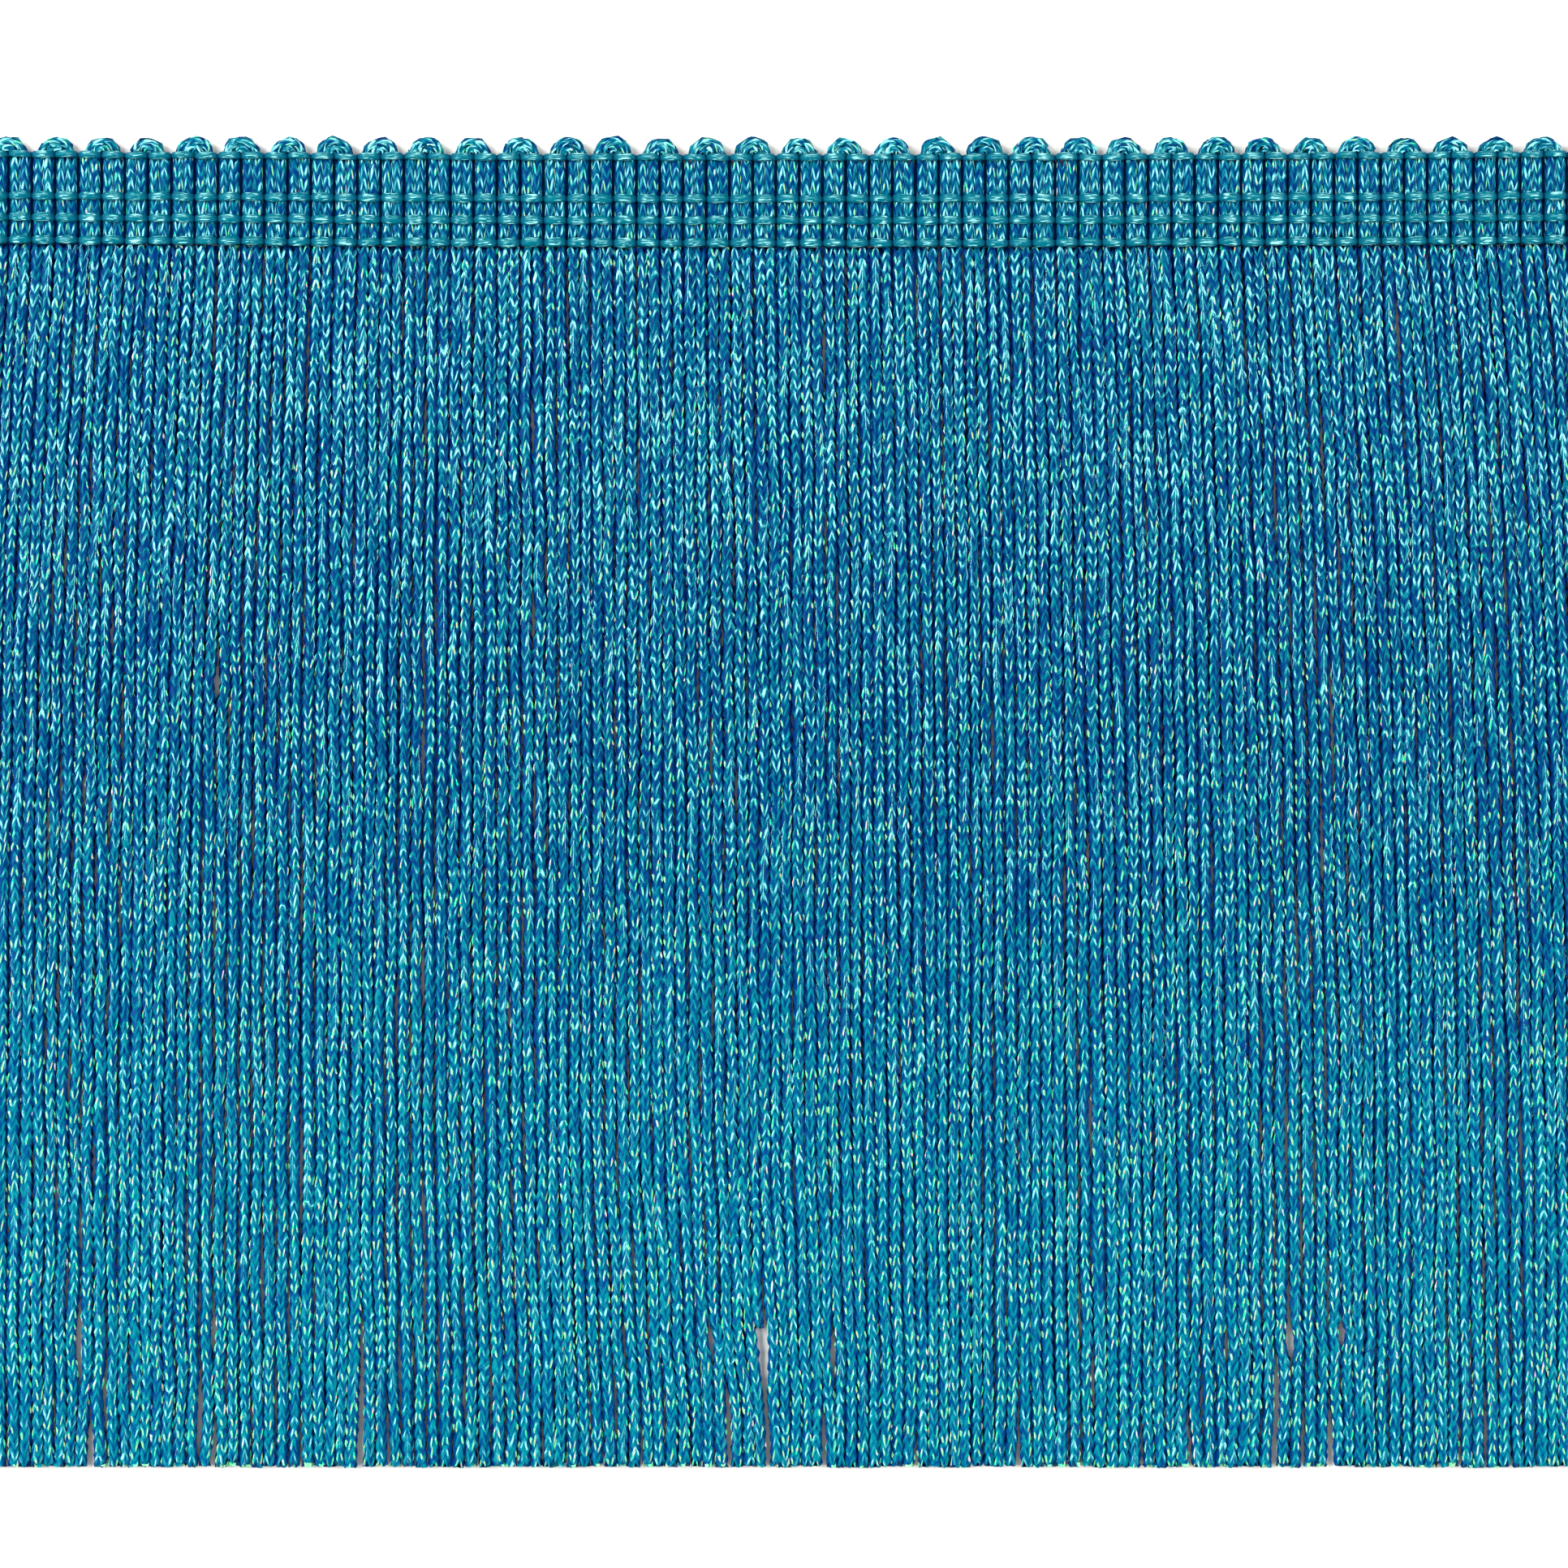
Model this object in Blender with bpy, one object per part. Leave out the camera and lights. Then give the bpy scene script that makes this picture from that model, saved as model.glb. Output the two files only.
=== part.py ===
"""Chainette fringe trim, a cut length lying flat with its picot edge towards +Y.

Soft strands of knitted chainette cross a narrow ribbed heading, turn over in small picots at its
top edge, and hang free below it as a fringe with cut ends. Four rows of smooth binding yarn cross
the ribs and hold them. X runs along the trim, Y along its strands and Z through its thickness.
"""

import math
import random
from collections import namedtuple

import bmesh
import bpy

MM = 0.001

# Overall size: a wale is one rib of the heading, made of two strands side by side
WALE_COUNT = 70
WALE_PITCH = 2.66 * MM
TRIM_WIDTH = 152.4 * MM
TRIM_LENGTH = WALE_COUNT * WALE_PITCH
CLEARANCE = 0.3 * MM

# Binding rows, counted from the picot edge down
ROW_BELOW_TOP = (2.55 * MM, 7.28 * MM, 9.76 * MM, 12.32 * MM)
ROW_FOOT_WIDTH = 0.80 * MM
ROW_BACK_WIDTH = 0.52 * MM
ROW_THICKNESS = 0.40 * MM
ROW_VALLEY_HEIGHT = 1.30 * MM
ROW_CREST_HEIGHT = 1.95 * MM
SIDE_RISE = 0.35 * MM

# Ribs of the heading
RIB_VALLEY_HEIGHT = 0.90 * MM
RIB_BOUND_HEIGHT = 1.28 * MM
RIB_FREE_HEIGHT = 1.65 * MM
STRAND_FROM_RIB_CENTRE = 0.58 * MM

# Strips that the picots and the strands are rooted in. Each is parted from the heading under a
# binding row.
STRIP_HEIGHT = 1.0 * MM
STRIP_OUTER_REACH = 0.45 * MM
STRIP_INNER_REACH = 0.10 * MM

# Picots, one over each pair of ribs
PICOT_HALF_WIDTH = 2.2 * MM
PICOT_CROWN_HEIGHT = 1.8 * MM
PICOT_RIM_HEIGHT = 0.7 * MM
PICOT_CROWN_SHARE = 0.55
PICOT_STEPS = 6
PICOT_VARIATION = 0.05

# Strands of the fringe, with four sides and a flat underside
STRAND_FOOT_WIDTH = 0.92 * MM
STRAND_BACK_WIDTH = 0.60 * MM
STRAND_HEIGHT = 1.25 * MM
STRAND_HEIGHT_VARIATION = 0.10 * MM
TIP_VARIATION = 0.6 * MM
STATION_FALLS = (0.0, 13.5 * MM, 65.0 * MM, 122.0 * MM)
SPREAD_FALL = 20.0 * MM

# The fringe splays as it falls: fast below the roots and slower towards the tips
SPLAY_SHARE = 0.040
SPLAY_FALL = 50.0 * MM
SPLAY_MIDDLE = -21.7 * MM
HEADING_MIDDLE = -0.8 * MM

# Slow sideways drift of the strands, as waves along the trim
Wave = namedtuple("Wave", "reach length phase bend")
DRIFT_WAVES = (
    Wave(reach=0.50 * MM, length=102.0 * MM, phase=3.23, bend=0.0),
    Wave(reach=0.20 * MM, length=23.0 * MM, phase=2.4, bend=2.3),
    Wave(reach=0.10 * MM, length=11.0 * MM, phase=4.1, bend=3.4),
)

# One wide lock of strands sways to the right near its tips
SWAY_REACH = 1.3 * MM
SWAY_MIDDLE = -17.0 * MM
SWAY_HALF_WIDTH = 24.0 * MM
SWAY_START = 95.0 * MM

# Openings between neighbouring strands: distance from the heading's middle, fall below the roots
# at which the opening starts and ends, and width. An end below the tips leaves the tips apart.
Opening = namedtuple("Opening", "across start end width")
OPENING_REACH = 4.0 * MM
OPENINGS = (
    Opening(across=-81.7 * MM, start=116.5 * MM, end=130.7 * MM, width=0.40 * MM),
    Opening(across=-79.6 * MM, start=131.5 * MM, end=160.0 * MM, width=0.50 * MM),
    Opening(across=-50.4 * MM, start=121.0 * MM, end=160.0 * MM, width=0.65 * MM),
    Opening(across=-8.3 * MM, start=127.5 * MM, end=160.0 * MM, width=0.50 * MM),
    Opening(across=2.4 * MM, start=131.0 * MM, end=160.0 * MM, width=0.40 * MM),
    Opening(across=25.1 * MM, start=129.0 * MM, end=160.0 * MM, width=0.50 * MM),
    Opening(across=53.8 * MM, start=126.5 * MM, end=160.0 * MM, width=0.70 * MM),
    Opening(across=61.1 * MM, start=129.0 * MM, end=160.0 * MM, width=0.65 * MM),
    Opening(across=68.4 * MM, start=3.5 * MM, end=24.0 * MM, width=0.50 * MM),
)

# One strand that was cut short
SHORT_STRAND_ACROSS = -4.06 * MM
SHORT_STRAND_FALL = 123.7 * MM

SEED = 27

# Levels down the trim, from its picot edge at the top
TOP_Y = TRIM_WIDTH / 2
ROW_YS = tuple(TOP_Y - below for below in ROW_BELOW_TOP)
PICOT_ROOT_Y = ROW_YS[0] + STRIP_OUTER_REACH
PICOT_STRIP_LOW_Y = ROW_YS[0] - STRIP_INNER_REACH
FRINGE_STRIP_HIGH_Y = ROW_YS[3] + STRIP_INNER_REACH
ROOT_Y = ROW_YS[3] - STRIP_OUTER_REACH
FULL_FALL = ROOT_Y + TRIM_WIDTH / 2

Finish = namedtuple("Finish", "name colour roughness metallic")
CHAINETTE = Finish("teal_chainette", (0.018, 0.180, 0.290, 1.0), 0.45, 0.0)
BINDING = Finish("teal_binding_yarn", (0.010, 0.190, 0.260, 1.0), 0.40, 0.0)


def rise(x):
    """The trim's gentle bow: its ends lie a little nearer to the picot side than its middle."""
    return SIDE_RISE * (2.0 * x / TRIM_LENGTH) ** 2


def valley_x(wale):
    """Distance from the heading's middle to the valley before a wale."""
    return -TRIM_LENGTH / 2 + wale * WALE_PITCH


def point(x, y, z):
    """A point at a distance along the trim from the heading's middle, moved with the bow."""
    return (HEADING_MIDDLE + x, y + rise(x), z)


def finish_material(finish):
    """The material of a finish, made once."""
    material = bpy.data.materials.get(finish.name)
    if material is None:
        material = bpy.data.materials.new(finish.name)
        material.use_nodes = True
        shader = material.node_tree.nodes["Principled BSDF"]
        shader.inputs["Base Color"].default_value = finish.colour
        shader.inputs["Roughness"].default_value = finish.roughness
        shader.inputs["Metallic"].default_value = finish.metallic
        material.diffuse_color = finish.colour
    return material


def add_object(name, mesh_builder, finish):
    """Turn a bmesh into a named object with its faces outward and its finish."""
    bmesh.ops.recalc_face_normals(mesh_builder, faces=mesh_builder.faces)
    mesh = bpy.data.meshes.new(name)
    mesh_builder.to_mesh(mesh)
    mesh_builder.free()
    mesh.materials.append(finish_material(finish))
    made = bpy.data.objects.new(name, mesh)
    bpy.context.collection.objects.link(made)
    return made


def loft(builder, rings):
    """Join rings of vertices, in order, with side faces."""
    count = len(rings[0])
    for near, far in zip(rings, rings[1:]):
        for side in range(count):
            after = (side + 1) % count
            builder.faces.new((near[side], near[after], far[after], far[side]))


def heading_columns():
    """Places along the heading with a rib profile: valleys, and the two strands of each rib."""
    columns = []
    for wale in range(WALE_COUNT):
        start = valley_x(wale)
        centre = start + WALE_PITCH / 2
        columns.append((start, False))
        columns.append((centre - STRAND_FROM_RIB_CENTRE, True))
        columns.append((centre + STRAND_FROM_RIB_CENTRE, True))
    columns.append((valley_x(WALE_COUNT), False))
    return columns


def build_heading():
    """The ribbed band between the picot strip and the fringe strip, flat below."""
    top_edge = PICOT_STRIP_LOW_Y - CLEARANCE
    low_edge = FRINGE_STRIP_HIGH_Y + CLEARANCE
    levels = (
        (top_edge, RIB_BOUND_HEIGHT),
        ((ROW_YS[0] + ROW_YS[1]) / 2, RIB_FREE_HEIGHT),
        (ROW_YS[1], RIB_BOUND_HEIGHT),
        ((ROW_YS[1] + ROW_YS[2]) / 2, RIB_FREE_HEIGHT),
        (ROW_YS[2], RIB_BOUND_HEIGHT),
        ((ROW_YS[2] + ROW_YS[3]) / 2, RIB_FREE_HEIGHT),
        (low_edge, RIB_BOUND_HEIGHT),
    )
    columns = heading_columns()
    builder = bmesh.new()
    grid = []
    for y, rib_height in levels:
        row = []
        for x, on_rib in columns:
            height = rib_height if on_rib else RIB_VALLEY_HEIGHT
            row.append(builder.verts.new(point(x, y, height)))
        grid.append(row)
    top_foot = [builder.verts.new(point(x, top_edge, 0.0)) for x, _ in columns]
    low_foot = [builder.verts.new(point(x, low_edge, 0.0)) for x, _ in columns]
    rows = [top_foot, *grid, low_foot]
    for upper, lower in zip(rows, rows[1:]):
        for column in range(len(columns) - 1):
            after = column + 1
            builder.faces.new((upper[column], upper[after], lower[after], lower[column]))
    for column in range(len(columns) - 1):
        after = column + 1
        builder.faces.new((top_foot[column], low_foot[column], low_foot[after], top_foot[after]))
    builder.faces.new([row[0] for row in rows])
    builder.faces.new([row[-1] for row in rows])
    return add_object("heading", builder, CHAINETTE)


def build_binding_row(number, row_y):
    """One binding row: it swells over each rib and dips into the valley beside it."""
    builder = bmesh.new()
    rings = []
    for half_wale in range(2 * WALE_COUNT + 1):
        x = valley_x(half_wale / 2)
        foot = ROW_VALLEY_HEIGHT if half_wale % 2 == 0 else ROW_CREST_HEIGHT
        back = foot + ROW_THICKNESS
        corners = (
            (row_y - ROW_FOOT_WIDTH / 2, foot),
            (row_y + ROW_FOOT_WIDTH / 2, foot),
            (row_y + ROW_BACK_WIDTH / 2, back),
            (row_y - ROW_BACK_WIDTH / 2, back),
        )
        rings.append([builder.verts.new(point(x, y, z)) for y, z in corners])
    loft(builder, rings)
    builder.faces.new(rings[0])
    builder.faces.new(rings[-1])
    return add_object(f"binding_row_{number}", builder, BINDING)


def dome_row(builder, centre, half_width, reach, height):
    """Vertices of one line over a picot's dome, between its two ends."""
    row = []
    for step in range(1, PICOT_STEPS):
        angle = math.pi * (1.0 - step / PICOT_STEPS)
        x = centre + half_width * math.cos(angle)
        y = PICOT_ROOT_Y + reach * math.sin(angle)
        row.append(builder.verts.new(point(x, y, height)))
    return row


def add_dome(builder, rows, feet):
    """Close a picot's dome over its root line, with a low wall down to its feet."""
    for upper, lower in zip(rows, rows[1:]):
        for step in range(PICOT_STEPS):
            corners = (upper[step], upper[step + 1], lower[step + 1], lower[step])
            builder.faces.new(list(dict.fromkeys(corners)))
    rim = rows[-1]
    for step in range(PICOT_STEPS):
        builder.faces.new((rim[step], rim[step + 1], feet[step + 1], feet[step]))


def build_picot_edge(variation):
    """The row of picots on the narrow strip that they are rooted in."""
    builder = bmesh.new()
    full_reach = TOP_Y - SIDE_RISE - PICOT_ROOT_Y
    crown_levels = (
        (0.0, STRIP_HEIGHT),
        (PICOT_CROWN_SHARE, PICOT_CROWN_HEIGHT),
        (1.0, PICOT_RIM_HEIGHT),
    )
    seams = []
    for pair in range(WALE_COUNT // 2 + 1):
        x = valley_x(2 * pair)
        corners = ((PICOT_STRIP_LOW_Y, 0.0), (PICOT_STRIP_LOW_Y, STRIP_HEIGHT),
                   (PICOT_ROOT_Y, STRIP_HEIGHT), (PICOT_ROOT_Y, 0.0))
        seams.append([builder.verts.new(point(x, y, z)) for y, z in corners])
    for pair, (left, right) in enumerate(zip(seams, seams[1:])):
        centre = valley_x(2 * pair + 1)
        half_width = PICOT_HALF_WIDTH * (1.0 - PICOT_VARIATION * variation.random())
        reach = full_reach * (1.0 - PICOT_VARIATION * variation.random())
        sides = (centre - half_width, centre + half_width)
        ends = [builder.verts.new(point(x, PICOT_ROOT_Y, STRIP_HEIGHT)) for x in sides]
        end_feet = [builder.verts.new(point(x, PICOT_ROOT_Y, 0.0)) for x in sides]
        rows = []
        for share, height in crown_levels:
            between = dome_row(builder, centre, half_width, share * reach, height)
            rows.append([ends[0], *between, ends[1]])
        feet = [end_feet[0], *dome_row(builder, centre, half_width, reach, 0.0), end_feet[1]]
        add_dome(builder, rows, feet)
        builder.faces.new((left[0], left[1], right[1], right[0]))
        builder.faces.new((left[1], left[2], *rows[0], right[2], right[1]))
        builder.faces.new((left[3], left[2], ends[0], feet[0]))
        builder.faces.new((right[3], right[2], ends[1], feet[-1]))
        builder.faces.new((left[0], left[3], *feet, right[3], right[0]))
    builder.faces.new(seams[0])
    builder.faces.new(seams[-1])
    return add_object("picot_edge", builder, CHAINETTE)


def smooth_step(share):
    """Ease from 0 to 1."""
    share = min(1.0, max(0.0, share))
    return share * share * (3.0 - 2.0 * share)


def opening_shift(x, fall):
    """Sideways push from the openings near a strand that would lie at x."""
    shift = 0.0
    for opening in OPENINGS:
        if not opening.start < fall < opening.end:
            continue
        share = (fall - opening.start) / (opening.end - opening.start)
        distance = x - opening.across
        push = opening.width / 2 * math.sin(math.pi * share) ** 0.5
        shift += math.copysign(push * math.exp(-abs(distance) / OPENING_REACH), distance)
    return shift


def strand_x(strand, fall):
    """Distance of a strand from the heading's middle at a fall below its root."""
    side = 1.0 if strand % 2 else -1.0
    rib_centre = valley_x(strand // 2) + WALE_PITCH / 2
    bound = rib_centre + side * STRAND_FROM_RIB_CENTRE
    free = rib_centre + side * WALE_PITCH / 4
    x = bound + (free - bound) * smooth_step(fall / SPREAD_FALL)
    splayed = 1.0 - math.exp(-fall / SPLAY_FALL)
    x += SPLAY_SHARE * (free - SPLAY_MIDDLE) * splayed
    share = fall / FULL_FALL
    for wave in DRIFT_WAVES:
        angle = math.tau * free / wave.length + wave.phase + wave.bend * share
        x += wave.reach * math.sin(angle) * splayed
    from_sway = (free - SWAY_MIDDLE) / SWAY_HALF_WIDTH
    sway_share = smooth_step((fall - SWAY_START) / (FULL_FALL - SWAY_START))
    x += SWAY_REACH * math.exp(-from_sway ** 2) * sway_share
    return x + opening_shift(x, fall)


def strand_ring(builder, x, y, height):
    """The four corners of a strand's section, foot first."""
    corners = (
        (x - STRAND_FOOT_WIDTH / 2, 0.0),
        (x + STRAND_FOOT_WIDTH / 2, 0.0),
        (x + STRAND_BACK_WIDTH / 2, height),
        (x - STRAND_BACK_WIDTH / 2, height),
    )
    return [builder.verts.new(point(corner_x, y, z)) for corner_x, z in corners]


def add_strand(builder, strand, full_fall, variation):
    """One strand of the fringe. Returns its open root ring."""
    rings = [strand_ring(builder, strand_x(strand, 0.0), ROOT_Y, STRIP_HEIGHT)]
    falls = [fall for fall in STATION_FALLS[1:] if fall < full_fall] + [full_fall]
    for fall in falls:
        height = STRAND_HEIGHT + STRAND_HEIGHT_VARIATION * variation.uniform(-1.0, 1.0)
        x = strand_x(strand, fall)
        rings.append(strand_ring(builder, x, ROOT_Y - fall - rise(x), height))
    loft(builder, rings)
    builder.faces.new(rings[-1])
    return rings[0]


def build_fringe(variation):
    """All strands, standing apart below the narrow strip that their roots are fused into."""
    short_strand = min(
        range(2 * WALE_COUNT),
        key=lambda strand: abs(strand_x(strand, SHORT_STRAND_FALL) - SHORT_STRAND_ACROSS),
    )
    builder = bmesh.new()
    seams = []
    for wale in range(WALE_COUNT + 1):
        x = valley_x(wale)
        corners = ((ROOT_Y, 0.0), (ROOT_Y, STRIP_HEIGHT),
                   (FRINGE_STRIP_HIGH_Y, STRIP_HEIGHT), (FRINGE_STRIP_HIGH_Y, 0.0))
        seams.append([builder.verts.new(point(x, y, z)) for y, z in corners])
    for wale, (left, right) in enumerate(zip(seams, seams[1:])):
        roots = []
        for strand in (2 * wale, 2 * wale + 1):
            full_fall = FULL_FALL - TIP_VARIATION * variation.random()
            if strand == short_strand:
                full_fall = SHORT_STRAND_FALL
            roots.append(add_strand(builder, strand, full_fall, variation))
        near, far = roots
        builder.faces.new((left[2], left[1], near[3], near[2], far[3], far[2], right[1], right[2]))
        builder.faces.new((left[3], left[0], near[0], near[1], far[0], far[1], right[0], right[3]))
        builder.faces.new((left[0], near[0], near[3], left[1]))
        builder.faces.new((near[1], far[0], far[3], near[2]))
        builder.faces.new((far[1], right[0], right[1], far[2]))
        builder.faces.new((left[3], left[2], right[2], right[3]))
    builder.faces.new(seams[0])
    builder.faces.new(seams[-1])
    return add_object("fringe", builder, CHAINETTE)


def clear_scene():
    """Remove the objects that the scene starts with."""
    for old in list(bpy.data.objects):
        bpy.data.objects.remove(old, do_unlink=True)


def main():
    """Build every piece of the trim."""
    clear_scene()
    variation = random.Random(SEED)
    build_heading()
    build_picot_edge(variation)
    build_fringe(variation)
    for number, row_y in enumerate(ROW_YS, start=1):
        build_binding_row(number, row_y)


main()
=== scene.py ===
"""Looks of the chainette fringe trim: knitted strands, ribbed heading, picots and binding yarn.

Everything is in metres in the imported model's frame: X runs along the trim, Y from the cut tips to
the picot edge, and Z up through its thickness.
"""

from __future__ import annotations

import logging
import math
from dataclasses import dataclass, replace
from enum import Enum
from functools import cached_property
from typing import Protocol, Union

import bpy
import numpy as np
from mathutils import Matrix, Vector

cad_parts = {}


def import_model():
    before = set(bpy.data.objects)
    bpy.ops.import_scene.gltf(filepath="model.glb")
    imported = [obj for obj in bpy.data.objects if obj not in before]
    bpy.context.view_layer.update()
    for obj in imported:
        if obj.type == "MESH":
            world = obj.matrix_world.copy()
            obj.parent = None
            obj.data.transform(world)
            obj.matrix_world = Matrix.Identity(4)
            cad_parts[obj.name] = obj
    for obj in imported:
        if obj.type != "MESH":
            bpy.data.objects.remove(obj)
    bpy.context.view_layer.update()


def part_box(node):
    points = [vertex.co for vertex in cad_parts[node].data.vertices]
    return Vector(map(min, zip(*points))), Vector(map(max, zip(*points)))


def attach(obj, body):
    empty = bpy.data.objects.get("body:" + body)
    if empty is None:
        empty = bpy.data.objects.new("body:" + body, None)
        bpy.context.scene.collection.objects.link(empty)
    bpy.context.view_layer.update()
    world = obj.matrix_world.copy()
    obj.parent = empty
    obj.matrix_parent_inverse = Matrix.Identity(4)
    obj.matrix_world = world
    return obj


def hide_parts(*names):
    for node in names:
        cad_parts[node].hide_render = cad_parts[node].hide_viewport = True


MM = 0.001
LOG = logging.getLogger("fringe_trim")
ROOT_BODY = "root"
Array = np.ndarray


@dataclass(frozen=True)
class Wave:
    """A slow sideways wave of the strands along the trim."""

    reach: float
    length: float
    phase: float
    bend: float


@dataclass(frozen=True)
class Opening:
    """A place where two neighbouring strands lie apart, in metres from the heading's middle."""

    across: float
    start: float
    end: float
    width: float


# How much further apart two strands are pushed than the opening seen between them.
OPENING_STRETCH = 1.4

# The end of an opening that runs out past the strands' tips.
PAST_TIPS = 160

# Across, start, end and width of each opening between two strands, from the heading's middle and the
# strands' roots. The one at -3.4 widens the room under the short strand.
OPENINGS_MM = (
    (-82.0, 116.5, 131, 0.4),
    (-80.8, 130.5, PAST_TIPS, 0.55),
    (-78.8, 124, PAST_TIPS, 0.5),
    (-77.1, 124, 134, 0.35),
    (-68.3, 130.5, 138.5, 0.35),
    (-66.8, 122, 128, 0.4),
    (-66.8, 133.5, PAST_TIPS, 0.35),
    (-50.4, 121, PAST_TIPS, 0.65),
    (-10.3, 123, 127.5, 0.5),
    (-8.4, 128.4, PAST_TIPS, 0.45),
    (-6.7, 133.3, PAST_TIPS, 0.45),
    (-5.0, 132.2, PAST_TIPS, 0.38),
    (-3.4, 117.0, 141.0, 0.45),
    (2.4, 132.4, PAST_TIPS, 0.5),
    (3.6, 124, 129, 0.35),
    (13.8, 133.4, PAST_TIPS, 0.5),
    (25.1, 129, PAST_TIPS, 0.5),
    (39.4, 132.4, PAST_TIPS, 0.4),
    (45.1, 132.8, PAST_TIPS, 0.4),
    (46.5, 129, 138.2, 0.28),
    (49.2, 123.5, 128.4, 0.5),
    (49.4, 131.5, 135.6, 0.5),
    (53.9, 128.2, PAST_TIPS, 0.6),
    (56.2, 123.5, 127.2, 0.6),
    (57.9, 132.4, PAST_TIPS, 0.4),
    (61.0, 130.7, PAST_TIPS, 0.75),
    (62.1, 123, 126, 0.5),
    (68.4, 3.5, 24, 0.5),
    (-73.8, 22.4, 27.9, 0.3),
    (-66.1, 48.8, 51.6, 0.35),
    (-14.2, 10.8, 15.4, 0.3),
    (30.0, 70, 75.7, 0.3),
    (52.9, 87.8, 94.2, 0.3),
)


def smooth_step(share: Array) -> Array:
    """Ease from 0 to 1."""
    share = np.clip(share, 0.0, 1.0)
    return share * share * (3.0 - 2.0 * share)


@dataclass(frozen=True)
class TrimLayout:
    """Where the ribs, rows and strands of the trim lie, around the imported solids.

    A fall is a distance below a strand's root. The strands of a rib move apart over a fall between
    the two spread falls, all strands splay from the splay middle and drift in slow waves, and those
    near the sway middle sway to the right towards their tips. Strands on the left of the short
    strand close in on the room below it.
    """

    heading_middle: float
    top_y: float
    tip_y: float
    row_ys: tuple[float, ...]
    wale_count: int = 70
    wale_pitch: float = 2.66 * MM
    strand_from_rib: float = 0.58 * MM
    side_rise: float = 0.42 * MM
    root_below_row: float = 0.45 * MM
    spread_falls: tuple[float, float] = (6.0 * MM, 34.0 * MM)
    spread_seed: int = 5
    splay_share: float = 0.040
    splay_fall: float = 50.0 * MM
    splay_middle: float = -21.7 * MM
    sway_reach: float = 1.3 * MM
    sway_middle: float = -17.0 * MM
    sway_half_width: float = 24.0 * MM
    sway_start: float = 95.0 * MM
    opening_reach: float = 4.0 * MM
    opening_far: float = 12.0 * MM
    short_strand_across: float = -4.06 * MM
    short_strand_fall: float = 123.7 * MM
    closing_reach: float = 1.20 * MM
    closing_spread: float = 9.0 * MM
    closing_lead: float = 1.5 * MM
    closing_fall: float = 14.5 * MM
    waves: tuple[Wave, ...] = (
        Wave(reach=0.50 * MM, length=102.0 * MM, phase=3.23, bend=0.0),
        Wave(reach=0.20 * MM, length=23.0 * MM, phase=2.4, bend=2.3),
        Wave(reach=0.10 * MM, length=11.0 * MM, phase=4.1, bend=3.4),
    )
    openings: tuple[Opening, ...] = tuple(
        Opening(across * MM, start * MM, end * MM, width * OPENING_STRETCH * MM)
        for across, start, end, width in OPENINGS_MM
    )

    @classmethod
    def from_frame(cls) -> TrimLayout:
        """Read the places of the heading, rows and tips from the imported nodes.

        Returns:
            The layout of this trim.
        """
        heading_low, heading_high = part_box("heading")
        row_foot_width = 0.80 * MM  # of a packed binding row
        rows = []
        for number in range(1, 5):
            low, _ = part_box(f"binding_row_{number}")
            rows.append(low.y + row_foot_width / 2)
        return cls(
            heading_middle=(heading_low.x + heading_high.x) / 2,
            top_y=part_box("picot_edge")[1].y,
            tip_y=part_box("fringe")[0].y,
            row_ys=tuple(rows),
        )

    @cached_property
    def rib_spreads(self) -> Array:
        """Length over which the two strands of each rib move apart."""
        return np.random.default_rng(self.spread_seed).uniform(*self.spread_falls, self.wale_count)

    @property
    def length(self) -> float:
        """Length of the heading along X."""
        return self.wale_count * self.wale_pitch

    @property
    def root_y(self) -> float:
        """Level of the strands' roots, under the last binding row."""
        return self.row_ys[3] - self.root_below_row

    @property
    def full_fall(self) -> float:
        """Length of a strand from its root to its tip."""
        return self.root_y - self.tip_y

    def rise(self, x: Array) -> Array:
        """The trim's gentle bow, at a distance from the heading's middle."""
        return self.side_rise * (2.0 * np.asarray(x) / self.length) ** 2

    def valley_x(self, wale: float) -> float:
        """Distance from the heading's middle to the valley before a wale."""
        return -self.length / 2 + wale * self.wale_pitch

    def opening_shift(self, strand: int, fall: Array) -> Array:
        """Sideways push on a strand from the openings near it.

        Args:
            strand: The strand's number from the left.
            fall: Distances below its root.

        Returns:
            The push at each place.
        """
        shift = np.zeros_like(fall)
        for opening in self.openings:
            middle = (opening.start + min(opening.end, self.full_fall)) / 2
            distance = float(self.lie(strand, np.array([middle]))[0]) - opening.across
            if abs(distance) > self.opening_far:
                continue
            share = np.clip((fall - opening.start) / (opening.end - opening.start), 0.0, 1.0)
            push = opening.width / 2 * np.sqrt(np.sin(np.pi * share).clip(0.0))
            nearness = math.exp(-abs(distance) / self.opening_reach)
            shift += math.copysign(nearness, distance) * push
        return shift

    def closing_shift(self, strand: int, fall: Array) -> Array:
        """Lean of the strands on the left of the short strand into the room below it.

        Args:
            strand: The strand's number from the left.
            fall: Distances below its root.

        Returns:
            The lean at each place.
        """
        end = np.array([self.short_strand_fall])
        distance = self.short_strand_across - float(self.lie(strand, end)[0])
        if distance < self.wale_pitch / 4:
            return np.zeros_like(fall)
        share = smooth_step((fall - self.short_strand_fall + self.closing_lead) / self.closing_fall)
        return self.closing_reach * math.exp(-distance / self.closing_spread) * share

    def strand_x(self, strand: int, fall: Array) -> Array:
        """Distance of a strand from the heading's middle, with the openings beside it.

        Args:
            strand: The strand's number from the left.
            fall: Distances below its root.

        Returns:
            The distance at each fall.
        """
        fall = np.maximum(np.asarray(fall, float), 0.0)
        shift = self.opening_shift(strand, fall) + self.closing_shift(strand, fall)
        return self.lie(strand, fall) + shift

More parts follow.
